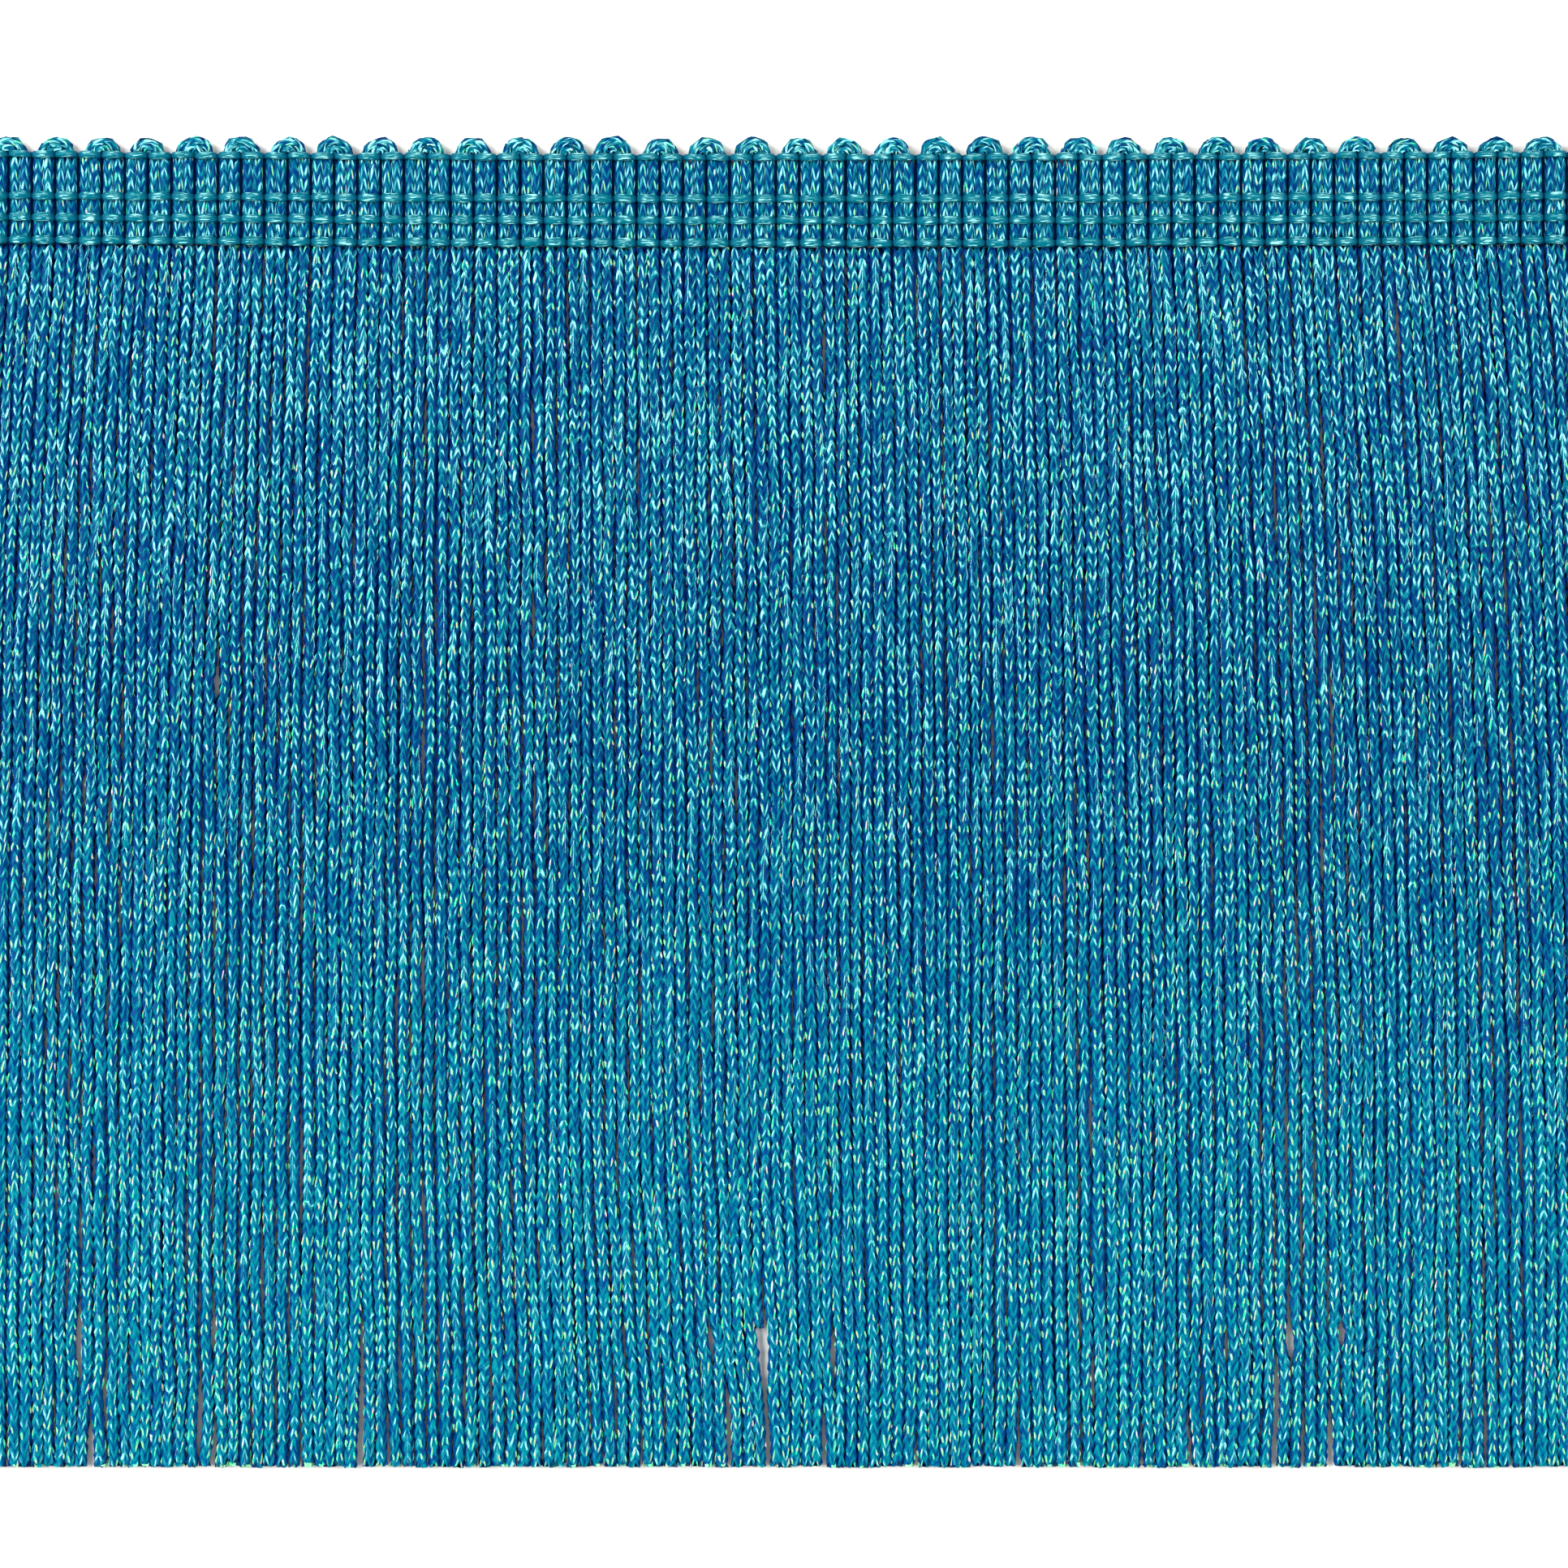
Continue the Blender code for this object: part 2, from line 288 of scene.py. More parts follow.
    def lie(self, strand: int, fall: Array) -> Array:
        """Distance of a strand from the heading's middle, apart from the openings.

        Args:
            strand: The strand's number from the left.
            fall: Distances below its root.

        Returns:
            The distance at each fall.
        """
        side = 1.0 if strand % 2 else -1.0
        rib_centre = self.valley_x(strand // 2) + self.wale_pitch / 2
        bound = rib_centre + side * self.strand_from_rib
        free = rib_centre + side * self.wale_pitch / 4
        x = bound + (free - bound) * smooth_step(fall / self.rib_spreads[strand // 2])
        splayed = 1.0 - np.exp(-fall / self.splay_fall)
        x = x + self.splay_share * (free - self.splay_middle) * splayed
        for wave in self.waves:
            angle = math.tau * free / wave.length + wave.phase
            x += wave.reach * np.sin(angle + wave.bend * fall / self.full_fall) * splayed
        from_sway = (free - self.sway_middle) / self.sway_half_width
        sway_share = smooth_step((fall - self.sway_start) / (self.full_fall - self.sway_start))
        x += self.sway_reach * math.exp(-from_sway**2) * sway_share
        return x


@dataclass
class MeshPart:
    """Points, faces and point values of one closed body.

    Each array in faces holds faces with the same number of corners, and the array at the same
    place in uvs holds those corners' texture coordinates.
    """

    points: Array
    faces: tuple[Array, ...]
    uvs: tuple[Array, ...]
    knit: Array
    painted_light: Array
    tone: Array
    film: Array
    seam: Array


class MeshJoiner:
    """Gathers closed bodies and makes one object of them."""

    def __init__(self, name: str) -> None:
        """Start an empty piece with a name."""
        self.name = name
        self.parts: list[MeshPart] = []

    def add(self, part: MeshPart) -> None:
        """Add one closed body."""
        self.parts.append(part)

    def build(self, finish: bpy.types.Material) -> bpy.types.Object:
        """Make the joined object.

        Args:
            finish: The material of every face.

        Returns:
            The linked object, shaded smooth.
        """
        corners = []
        counts = []
        places = []
        start = 0
        for part in self.parts:
            for faces, uvs in zip(part.faces, part.uvs):
                corners.append((faces + start).ravel())
                counts.append(np.full(len(faces), faces.shape[1]))
                places.append(uvs.reshape(-1, 2))
            start += len(part.points)
        points = np.concatenate([part.points for part in self.parts])
        corners = np.concatenate(corners)
        counts = np.concatenate(counts)
        mesh = bpy.data.meshes.new(self.name)
        mesh.vertices.add(len(points))
        mesh.vertices.foreach_set("co", points.astype(np.float32).ravel())
        mesh.loops.add(len(corners))
        mesh.loops.foreach_set("vertex_index", corners.astype(np.int32))
        mesh.polygons.add(len(counts))
        mesh.polygons.foreach_set("loop_start", (np.cumsum(counts) - counts).astype(np.int32))
        mesh.polygons.foreach_set("use_smooth", np.ones(len(counts), dtype=bool))
        uv_layer = mesh.uv_layers.new(name="OFBake")
        uv_layer.data.foreach_set("uv", np.concatenate(places).astype(np.float32).ravel())
        knit = mesh.attributes.new("knit", "FLOAT_VECTOR", "POINT")
        knit.data.foreach_set(
            "vector", np.concatenate([part.knit for part in self.parts]).astype(np.float32).ravel()
        )
        for attribute in ("painted_light", "tone", "film", "seam"):
            values = np.concatenate([getattr(part, attribute) for part in self.parts])
            layer = mesh.attributes.new(attribute, "FLOAT", "POINT")
            layer.data.foreach_set("value", values.astype(np.float32).ravel())
        mesh.update(calc_edges=True)
        mesh.validate()
        mesh.materials.append(finish)
        made = bpy.data.objects.new(self.name, mesh)
        bpy.context.scene.collection.objects.link(made)
        return made


@dataclass(frozen=True)
class AtlasStrip:
    """The upright strip of the texture square that one body is laid out in."""

    index: int
    count: int

    def place(self, around: Array, along: Array) -> Array:
        """Lay out points by their share around and along the body.

        Args:
            around: Share of the way around, from 0 to 1.
            along: Share of the way along, from 0 to 1.

        Returns:
            The texture coordinates.
        """
        side_margin = 0.06
        end_margin = 0.012
        u = (self.index + side_margin + around * (1.0 - 2.0 * side_margin)) / self.count
        v = end_margin + along * (1.0 - 2.0 * end_margin)
        return np.stack([u, v], axis=-1)


class Course(Protocol):
    """The line that a chainette strand follows."""

    def frames(self, along: Array) -> tuple[Array, Array, Array]:
        """Centres, across and up vectors at distances along the line."""


@dataclass(frozen=True)
class ChainetteKnit:
    """The knitted tube of chainette: four wales of chevron stitches around a hollow strand."""

    stitch: float = 1.44 * MM
    chevron_rise: float = 1.20 * MM
    leg_centre_depth: float = 0.11 * MM
    leg_edge_depth: float = 0.09 * MM
    gap_depth: float = 0.23 * MM
    gap_centre_depth: float = 0.37 * MM
    gap_edge_depth: float = 0.28 * MM
    unevenness: float = 1.35
    swell: float = 0.035 * MM
    ring_jitter: float = 0.04
    point_jitter: float = 0.06
    rings_per_stitch: int = 2
    film_share: float = 0.14
    film_growth: float = 0.22
    steepness_variation: float = 0.20
    seam_share: float = 0.24
    seam_lengths: tuple[float, float] = (12.0 * MM, 40.0 * MM)
    plain_tone: float = 0.35
    # Painted light on the tube: painted shade on the sides that turn away from the top and on the end
    # rings, and an even painted lightening of the whole tube.
    side_shade: float = 0.78
    shade_rises: tuple[float, float] = (0.42, 0.90)
    end_shade: float = 0.6
    painted_light_lift: float = 0.0
    around: tuple[float, ...] = (
        0.0, 22.5, 45.0, 67.5, 90.0, 125.0, 180.0, 235.0, 270.0, 292.5, 315.0, 337.5
    )

    def fold(self, angles: Array) -> Array:
        """Share of the way from a wale's centre to its edge, at angles in degrees."""
        return np.abs((angles + 45.0) % 90.0 - 45.0) / 45.0

    def rings(self, length: float, chance: np.random.Generator) -> tuple[Array, Array]:
        """Distances of the rings of points along a strand, which starts partway into a stitch.

        Args:
            length: Length of the strand.
            chance: Seeded source of unevenness.

        Returns:
            The distance of each ring, and how far it lies on a leg: 1 on its line, 0 between legs.
        """
        stitch = self.stitch * chance.uniform(0.96, 1.05)
        step = stitch / self.rings_per_stitch
        first = chance.integers(0, self.rings_per_stitch)
        places = np.arange(math.ceil(length / step) + 2)
        line = np.clip((places - chance.uniform(0.1, 0.9)) * step, 0.0, length)
        line = line[: int(np.argmax(line >= length)) + 1]
        phase = (places[: len(line)] + first) / self.rings_per_stitch
        leg = 0.5 - 0.5 * np.cos(math.tau * phase)
        return line[:, None], leg[:, None]

    def depth(self, fold: Array, leg: Array) -> Array:
        """How far the surface lies below the crest of a leg.

        Args:
            fold: Share of the way from a wale's centre to its edge.
            leg: 1 on the line of a leg, and 0 between two legs.

        Returns:
            The depth at each point.
        """
        inner = np.clip(1.0 - 2.0 * fold, 0.0, 1.0)
        outer = np.clip(2.0 * fold - 1.0, 0.0, 1.0)
        on_leg = inner * self.leg_centre_depth + outer * self.leg_edge_depth
        gap_inner = inner * (self.gap_centre_depth - self.gap_depth)
        gap_outer = outer * (self.gap_edge_depth - self.gap_depth)
        return leg * on_leg + (1.0 - leg) * (self.gap_depth + gap_inner + gap_outer)

    def tube(
        self,
        course: Course,
        length: float,
        shape: StrandShape,
        strip: AtlasStrip,
        chance: np.random.Generator,
    ) -> MeshPart:
        """Knit one closed strand along a course.

        Args:
            course: The line to follow.
            length: Length of the strand.
            shape: Its width, height and turn along the course.
            strip: Where its texture coordinates go.
            chance: Seeded source of unevenness.

        Returns:
            The closed strand.
        """
        angles = np.array(self.around)
        fold = self.fold(angles)
        line, leg = self.rings(length, chance)
        rings = len(line)
        jitter = chance.normal(0.0, self.ring_jitter, (rings, 1))
        jitter = jitter + chance.normal(0.0, self.point_jitter, (rings, len(angles)))
        steepness = chance.normal(1.0, self.steepness_variation, (rings, 1))
        chevron = self.chevron_rise * steepness * (fold[None, :] - 0.5)
        along = line + jitter * self.stitch - chevron
        along = self.squeeze(along, length, line)
        leg_swell = chance.normal(0.0, self.unevenness, (rings, len(angles)))
        depth = self.depth(fold[None, :], leg) - self.swell * leg_swell
        centre, across, up = course.frames(along)
        turned = np.radians(angles[None, :]) + shape.turn(line)
        half_width, half_height = shape.half_sizes(along)
        side = np.sin(turned)
        rise = np.cos(turned)
        outward = np.hypot(side / half_height, rise / half_width)
        normal_side = side / half_height / outward
        normal_rise = rise / half_width / outward
        flat = (half_width * side - depth * normal_side)[..., None] * across
        lift = (half_height * rise - depth * normal_rise)[..., None] * up
        points = centre + flat + lift
        points[..., 2] = np.maximum(points[..., 2], 0.0)
        knit = np.stack(
            [
                np.broadcast_to(line / self.stitch, depth.shape),
                np.broadcast_to(angles[None, :] / 45.0, depth.shape),
                np.full(depth.shape, chance.uniform(0.0, 40.0)),
            ],
            axis=-1,
        )
        painted_light, tone, film = self.lustre(depth, fold[None, :], leg, line / length, chance)
        # Painted shade on the sides that turn away from the top and on the two end rings, and an even
        # painted lightening over the whole tube.
        shaded, lit = self.shade_rises
        facing = smooth_step((rise - shaded) / (lit - shaded))
        painted_light = painted_light * (1.0 - self.side_shade * (1.0 - facing)) + self.painted_light_lift
        painted_light[[0, -1]] *= self.end_shade
        quads, uvs = self.skin(rings, len(angles), strip)
        return MeshPart(
            points=points.reshape(-1, 3),
            faces=(quads,),
            uvs=(uvs,),
            knit=knit.reshape(-1, 3),
            painted_light=painted_light.ravel(),
            tone=tone.ravel(),
            film=film.ravel(),
            seam=self.seams(line, fold, chance).ravel(),
        )

    def seams(self, line: Array, fold: Array, chance: np.random.Generator) -> Array:
        """Where a painted highlight runs straight along the seam between two wales, over stretches of a
        strand.

        Args:
            line: Distance of each ring along the strand.
            fold: Share of the way from a wale's centre to its edge, around the strand.
            chance: Seeded source of unevenness.

        Returns:
            1 where the seam's painted highlight falls at each point, and 0 elsewhere.
        """
        starts = chance.uniform(0.0, math.tau, len(fold))
        lengths = chance.uniform(*self.seam_lengths, len(fold))
        swing = np.sin(math.tau * line / lengths[None, :] + starts[None, :])
        seam_highlight = swing > math.cos(math.pi * self.seam_share)
        return np.where((fold > 0.95)[None, :] & seam_highlight, 1.0, 0.0)

    def lustre(
        self, depth: Array, fold: Array, leg: Array, fallen: Array, chance: np.random.Generator
    ) -> tuple[Array, Array, Array]:
        """Painted light, tone and film of each point, for the finish to read: painted shade in the gaps
        between the legs, lighter on their crests.

        Args:
            depth: How far each point lies below the crest of a leg.
            fold: Share of the way from a wale's centre to its edge.
            leg: 1 on the line of a leg.
            fallen: Share of the way to the strand's end, where more points carry film.
            chance: Seeded source of unevenness.

        Returns:
            The painted light, the tone and the film at each point.
        """
        # Painted shade: the further a point lies below a leg's crest, the darker the finish paints it.
        painted_light = 1.0 - np.clip(depth / self.gap_centre_depth, 0.0, 1.0)
        crest = (np.abs(fold - 0.5) < 0.2) & (leg > 0.75)
        tone = np.where(crest, chance.uniform(0.0, 1.0, depth.shape), self.plain_tone)
        share = self.film_share + self.film_growth * fallen
        wrapped = chance.uniform(0.0, 1.0, depth.shape) < share
        return painted_light, tone, np.where(crest & wrapped, 1.0, 0.0)

    @staticmethod
    def squeeze(along: Array, length: float, line: Array) -> Array:
        """Keep the stitches inside the strand, drawn together at its two ends.

        Args:
            along: Distances along the strand.
            length: Length of the strand.
            line: Distance of each ring, before its chevrons.

        Returns:
            The distances, within the strand and in order.
        """
        slack = 0.2 * MM
        share = line / length
        return np.clip(along, slack * share, length - slack * (1.0 - share))

    @staticmethod
    def skin(rings: int, sides: int, strip: AtlasStrip) -> tuple[Array, Array]:
        """Faces and texture coordinates of a closed tube of rings.

        Args:
            rings: Number of rings.
            sides: Points on each ring, an even number.
            strip: Where the texture coordinates go.

        Returns:
            The faces and their corners' texture coordinates.
        """
        ring, side = np.meshgrid(np.arange(rings - 1), np.arange(sides), indexing="ij")
        ring = ring.ravel()
        side = side.ravel()
        after = (side + 1) % sides
        quads = np.stack(
            [
                ring * sides + side,
                ring * sides + after,
                (ring + 1) * sides + after,
                (ring + 1) * sides + side,
            ],
            axis=1,
        )
        around = np.stack([side, side + 1, side + 1, side], axis=1) / sides
        along = np.stack([ring, ring, ring + 1, ring + 1], axis=1) / (rings - 1)
        uvs = strip.place(around, along)
        caps = []
        cap_uvs = []
        cap_height = 0.008
        for base, end in ((0, -cap_height), ((rings - 1) * sides, 1.0)):
            for step in range(sides // 2 - 1):
                left = base + step
                right = base + (sides - step) % sides
                corners = [left, base + step + 1, base + sides - step - 1, right]
                caps.append(corners if base else corners[::-1])
                steps = np.array([step, step + 1, step + 1, step]) / (sides / 2)
                heights = end + cap_height * np.array([0.0, 0.0, 1.0, 1.0])
                places = strip.place(steps, heights)
                cap_uvs.append(places if base else places[::-1])
        quads = np.concatenate([quads[:, ::-1], np.array(caps)])
        uvs = np.concatenate([uvs[:, ::-1], np.array(cap_uvs)])
        return quads, uvs


@dataclass(frozen=True)
class StrandShape:
    """Width, height and turn of a strand along its course."""

    half_width: float
    half_height: float
    first_turn: float
    turn_reach: float
    turn_length: float
    turn_phase: float
    bound_share: float = 1.0
    bound_spread: float = 0.10
    bound_reach: float = 0.9 * MM

    def turn(self, line: Array) -> Array:
        """Turn of the knit about the strand's own axis, in radians."""
        wave = np.sin(math.tau * line / self.turn_length + self.turn_phase)
        return self.first_turn + self.turn_reach * wave

    def half_sizes(self, along: Array) -> tuple[Array, Array]:
        """Half width and half height, drawn in where the strand is bound.

        Args:
            along: Distances along the strand.

        Returns:
            The half widths and half heights.
        """
        bound = np.exp(-((np.maximum(along, 0.0) / self.bound_reach) ** 2))
        width = self.half_width * (1.0 + self.bound_spread * bound)
        height = self.half_height * (1.0 - (1.0 - self.bound_share) * bound)
        return width, height


@dataclass(frozen=True)
class FallingCourse:
    """The line of a fringe strand from its root to its tip, lying on the floor."""

    layout: TrimLayout
    strand: int
    half_height: float
    lift: float
    lift_fall: float
    wobble_reach: float
    wobble_length: float
    wobble_phase: float
    wobble_start: float = 15.0 * MM

    def frames(self, along: Array) -> tuple[Array, Array, Array]:
        """Centres, across and up vectors along the strand.

        Args:
            along: Distances below the strand's root.

        Returns:
            The centres, across vectors and up vectors.
        """
        step = 0.2 * MM
        x = self.place(along)
        slope = (self.place(along + step) - x) / step
        y = self.layout.root_y - along + self.layout.rise(x)
        z = self.half_height + self.lift * np.exp(-np.maximum(along, 0.0) / self.lift_fall)
        centre = np.stack([x + self.layout.heading_middle, y, z], axis=-1)
        norm = np.hypot(1.0, slope)
        across = np.stack([1.0 / norm, slope / norm, np.zeros_like(x)], axis=-1)
        up = np.zeros_like(across)
        up[..., 2] = 1.0
        return centre, across, up

    def place(self, along: Array) -> Array:
        """Distance from the heading's middle, with the strand's own small waves."""
        wobble = np.sin(math.tau * along / self.wobble_length + self.wobble_phase)
        grown = smooth_step(along / self.wobble_start)
        return self.layout.strand_x(self.strand, along) + self.wobble_reach * wobble * grown


Colour = tuple[float, float, float, float]
Number = Union[float, "Wire"]
Paint = Union[Colour, "Wire"]


class MixSocket(Enum):
    """Places of a Mix node's colour sockets."""

    SHARE = 0
    UNDER = 6
    OVER = 7
    MIXED = 2


class Wire:
    """A value socket that can be used in plain arithmetic."""

    def __init__(self, tree: ShaderTree, socket: bpy.types.NodeSocket) -> None:
        """Wrap one output socket of a tree."""
        self.tree = tree
        self.socket = socket

    def _math(self, operation: str, *values: Number) -> Wire:
        """Add a Math node.

        Args:
            operation: The node's operation.
            values: Its inputs, in order.

        Returns:
            Its output.
        """
        made = self.tree.node("ShaderNodeMath", {"operation": operation}, dict(enumerate(values)))
        return Wire(self.tree, made.outputs[0])

    def __add__(self, other: Number) -> Wire:
        """Sum."""
        return self._math("ADD", self, other)

    __radd__ = __add__

    def __sub__(self, other: Number) -> Wire:
        """Difference."""
        return self._math("SUBTRACT", self, other)

    def __rsub__(self, other: Number) -> Wire:
        """Difference from a number."""
        return self._math("SUBTRACT", other, self)

    def __mul__(self, other: Number) -> Wire:
        """Product."""
        return self._math("MULTIPLY", self, other)

    __rmul__ = __mul__

    def clamped(self) -> Wire:
        """The value kept from 0 to 1."""
        made = self.tree.node("ShaderNodeClamp", {}, {"Value": self})
        return Wire(self.tree, made.outputs[0])

    def ramp(self, low: float, high: float) -> Wire:
        """A smooth step from 0 at low to 1 at high."""
        made = self.tree.node(
            "ShaderNodeMapRange",
            {"interpolation_type": "SMOOTHSTEP"},
            {"Value": self, "From Min": low, "From Max": high},
        )
        return Wire(self.tree, made.outputs[0])


class ShaderTree:
    """The nodes of one material."""

    def __init__(self, name: str) -> None:
        """Start a material that has only its Principled BSDF and output."""
        self.material = bpy.data.materials.new(name)
        self.material.use_nodes = True
        self.nodes = self.material.node_tree.nodes
        self.links = self.material.node_tree.links
        self.shader = self.nodes["Principled BSDF"]

    def node(
        self, kind: str, settings: dict[str, object], sockets: dict[str | int, object]
    ) -> bpy.types.Node:
        """Add a node.

        Args:
            kind: The node's type.
            settings: Its own settings, set first.
            sockets: Values or wires of its inputs, by name or number.

        Returns:
            The node.
        """
        made = self.nodes.new(kind)
        for name, value in settings.items():
            setattr(made, name, value)
        for name, value in sockets.items():
            self.feed(made.inputs[name], value)
        return made

    def feed(self, socket: bpy.types.NodeSocket, value: object) -> None:
        """Link a wire to a socket, or set the socket's own value."""
        if isinstance(value, Wire):
            self.links.new(value.socket, socket)
        else:
            socket.default_value = value

    def attribute(self, name: str, output: str = "Fac") -> Wire:
        """A value that the mesh carries."""
        made = self.node("ShaderNodeAttribute", {"attribute_name": name}, {})
        return Wire(self, made.outputs[output])

    def part(self, vector: Wire, axis: str) -> Wire:
        """One part of a vector."""
        made = self.node("ShaderNodeSeparateXYZ", {}, {"Vector": vector})
        return Wire(self, made.outputs[axis])

    def noise(self, vector: Wire, scales: tuple[float, float, float], detail: float = 1.0) -> Wire:
        """Soft noise around 0.5.

        Args:
            vector: Where each point lies in the knit.
            scales: How fine the noise is along the yarn, around it and from yarn to yarn.
            detail: How many finer layers it has.

        Returns:
            The noise.
        """
        inputs = {"Vector": self.stretched(vector, scales), "Scale": 1.0, "Detail": detail}
        return Wire(self, self.node("ShaderNodeTexNoise", {}, inputs).outputs["Fac"])

    def stretched(self, vector: Wire, scales: tuple[float, float, float]) -> Wire:
        """A vector scaled along each axis."""
        made = self.node("ShaderNodeVectorMath", {"operation": "MULTIPLY"}, {0: vector, 1: scales})
        return Wire(self, made.outputs[0])

    def bumped(self, height: Wire, strength: float) -> Wire:
        """A normal that follows the filaments' height."""
        inputs = {"Strength": strength, "Distance": 0.05 * MM, "Height": height}
        return Wire(self, self.node("ShaderNodeBump", {}, inputs).outputs[0])

    def paint(self, share: Number, under: Paint, over: Paint) -> Wire:
        """Lay one colour over another.

        Args:
            share: How much of the upper colour shows.
            under: The lower colour.
            over: The upper colour.

        Returns:
            The mixed colour.
        """
        inputs = {MixSocket.SHARE.value: share, MixSocket.UNDER.value: under, MixSocket.OVER.value: over}
        made = self.node("ShaderNodeMix", {"data_type": "RGBA"}, inputs)
        return Wire(self, made.outputs[MixSocket.MIXED.value])

    def hues(self, value: Wire, stops: tuple[tuple[float, Colour], ...]) -> Wire:
        """Plain colours by value.

        Args:
            value: The value that chooses the colour.
            stops: The value at which each colour starts, and the colour.

        Returns:
            The chosen colour.
        """
        made = self.node("ShaderNodeValToRGB", {}, {"Fac": value})
        ramp = made.color_ramp
        ramp.interpolation = "CONSTANT"
        while len(ramp.elements) < len(stops):
            ramp.elements.new(0.5)
        for element, (place, colour) in zip(ramp.elements, stops):
            element.position = place
            element.color = colour
        return Wire(self, made.outputs["Color"])

    def finish(self, **sockets: object) -> bpy.types.Material:
        """Set the shader's sockets, spaces written as underscores, and return the material."""
        for name, value in sockets.items():
            self.feed(self.shader.inputs[name.replace("_", " ")], value)
        return self.material


@dataclass(frozen=True)
class ChainetteFinish:
    """Lustrous teal yarn with flecks of iridescent film, with painted shade in the knit's gaps and
    painted highlights on its crests and seams.
    """

    name: str = "teal_chainette"
    # Painted shade for the knit's gaps, the yarn's own body colour, lighter painted copies of both
    # towards the tips, and the painted highlight for crests and seams.
    painted_shade: Colour = (0.0, 0.019, 0.122, 1.0)
    body: Colour = (0.0, 0.172, 0.206, 1.0)
    low_painted_shade: Colour = (0.0, 0.036, 0.165, 1.0)
    low_lit_body: Colour = (0.0, 0.188, 0.234, 1.0)
    painted_highlight: Colour = (0.310, 0.860, 0.880, 1.0)
    film_hues: tuple[tuple[float, Colour], ...] = (
        (0.0, (0.01, 0.62, 0.30, 1.0)),
        (0.39, (0.82, 0.34, 0.26, 1.0)),
        (0.43, (0.16, 0.74, 0.20, 1.0)),
        (0.47, (0.00, 0.66, 0.30, 1.0)),
        (0.56, (0.52, 0.86, 0.56, 1.0)),
        (0.575, (0.00, 0.62, 0.32, 1.0)),
        (0.62, (0.84, 0.36, 0.28, 1.0)),
        (0.67, (0.70, 0.68, 0.90, 1.0)),
    )
    # Stitch ranges over which the painted light changes along a strand.
    highlight_fade_stitches: tuple[float, float] = (8.0, 50.0)
    tip_light_stitches: tuple[float, float] = (30.0, 85.0)
    mean_tone: float = 0.46
    tone_weight: float = 0.85
    fibre_weight: float = 1.5
    patch_weight: float = 0.45
    roughness: float = 0.42
    film_gloss: float = 0.1

    def material(self) -> bpy.types.Material:
        """Build the finish.

        Returns:
            The material.
        """
        tree = ShaderTree(self.name)
        knit = tree.attribute("knit", "Vector")
        painted_light = tree.attribute("painted_light")
        tone = tree.attribute("tone")
        film = tree.attribute("film")
        seam = tree.attribute("seam")
        # Painted light that changes along the strand: painted highlights fade past the first stitches,
        # and the painted shade and body turn lighter towards the tips.
        early = tree.part(knit, "X").ramp(*self.highlight_fade_stitches)
        low = tree.part(knit, "X").ramp(*self.tip_light_stitches)
        fibres = tree.noise(knit, (7.0, 0.8, 1.0), detail=2.0)
        patches = tree.noise(knit, (0.15, 0.3, 1.0))
        clumps = tree.noise(knit, (0.9, 0.6, 1.0))
        # Painted light from the knit's hollows and crests, with random tone, fibres and patches: low
        # values take the painted shade, high ones the painted highlight.
        value = painted_light + (tone - self.mean_tone) * self.tone_weight
        value = value + (fibres - 0.5) * self.fibre_weight
        value = value + (patches - 0.5) * self.patch_weight + (clumps - 0.5) * self.patch_weight
        painted_shade = tree.paint(low, self.painted_shade, self.low_painted_shade)
        body = tree.paint(low, self.body, self.low_lit_body)
        lit = value + low * 0.14 - early * 0.04
        colour = tree.paint(lit.ramp(0.22, 0.74), painted_shade, body)
        colour = tree.paint((value - early * 0.12).ramp(0.66, 1.12), colour, self.painted_highlight)
        # Painted highlight in streaks along the seams between wales, weaker towards the tips.
        seam_highlight = seam.ramp(0.80, 0.95) * fibres.ramp(0.30, 0.50)
        colour = tree.paint(seam_highlight * (0.80 - low * 0.5), colour, self.painted_highlight)
        # Film flecks, a few more of them towards the tips.
        fleck = (film * (fibres * 0.7 + low * 0.08 + 0.65)).ramp(0.44, 0.56)
        hue = tree.noise(knit, (1.3, 3.4, 1.0))
        colour = tree.paint(fleck, colour, tree.hues(hue, self.film_hues))
        return tree.finish(
            Base_Color=colour,
            Roughness=self.roughness - fleck * self.film_gloss,
            Specular_IOR_Level=0.12,
            Specular_Tint=(0.10, 0.75, 0.95, 1.0),
            Normal=tree.bumped(fibres, strength=0.35),
        )


@dataclass(frozen=True)
class BindingFinish:
    """Smooth lustrous yarn of fine parallel filaments, with painted shade where the rows dip and painted
    highlights on the filaments over each rib.
    """

    name: str = "teal_binding_yarn"
    # Painted shade where the row dips, the yarn's own body colour, and the painted highlight on its
    # filaments.
    painted_shade: Colour = (0.0, 0.070, 0.130, 1.0)
    body: Colour = (0.0, 0.110, 0.152, 1.0)
    painted_highlight: Colour = (0.300, 0.760, 0.740, 1.0)
    roughness: float = 0.40

    def material(self) -> bpy.types.Material:
        """Build the finish.

        Returns:
            The material.
        """
        tree = ShaderTree(self.name)
        knit = tree.attribute("knit", "Vector")
        painted_light = tree.attribute("painted_light")
        filaments = tree.noise(knit, (2.6, 1.7, 1.0))
        # Painted shade at the ends of each bar where the row dips, and painted highlight streaks on the
        # filaments over the rib.
        colour = tree.paint(painted_light.ramp(0.15, 0.80), self.painted_shade, self.body)
        gleam = (painted_light.ramp(0.45, 0.82) * (filaments * 11.0 - 6.1)).clamped()
        colour = tree.paint(gleam, colour, self.painted_highlight)
        return tree.finish(
            Base_Color=colour,
            Roughness=self.roughness,
            Specular_IOR_Level=0.14,
            Specular_Tint=(0.10, 0.80, 0.90, 1.0),
            Normal=tree.bumped(filaments, strength=0.5),
        )


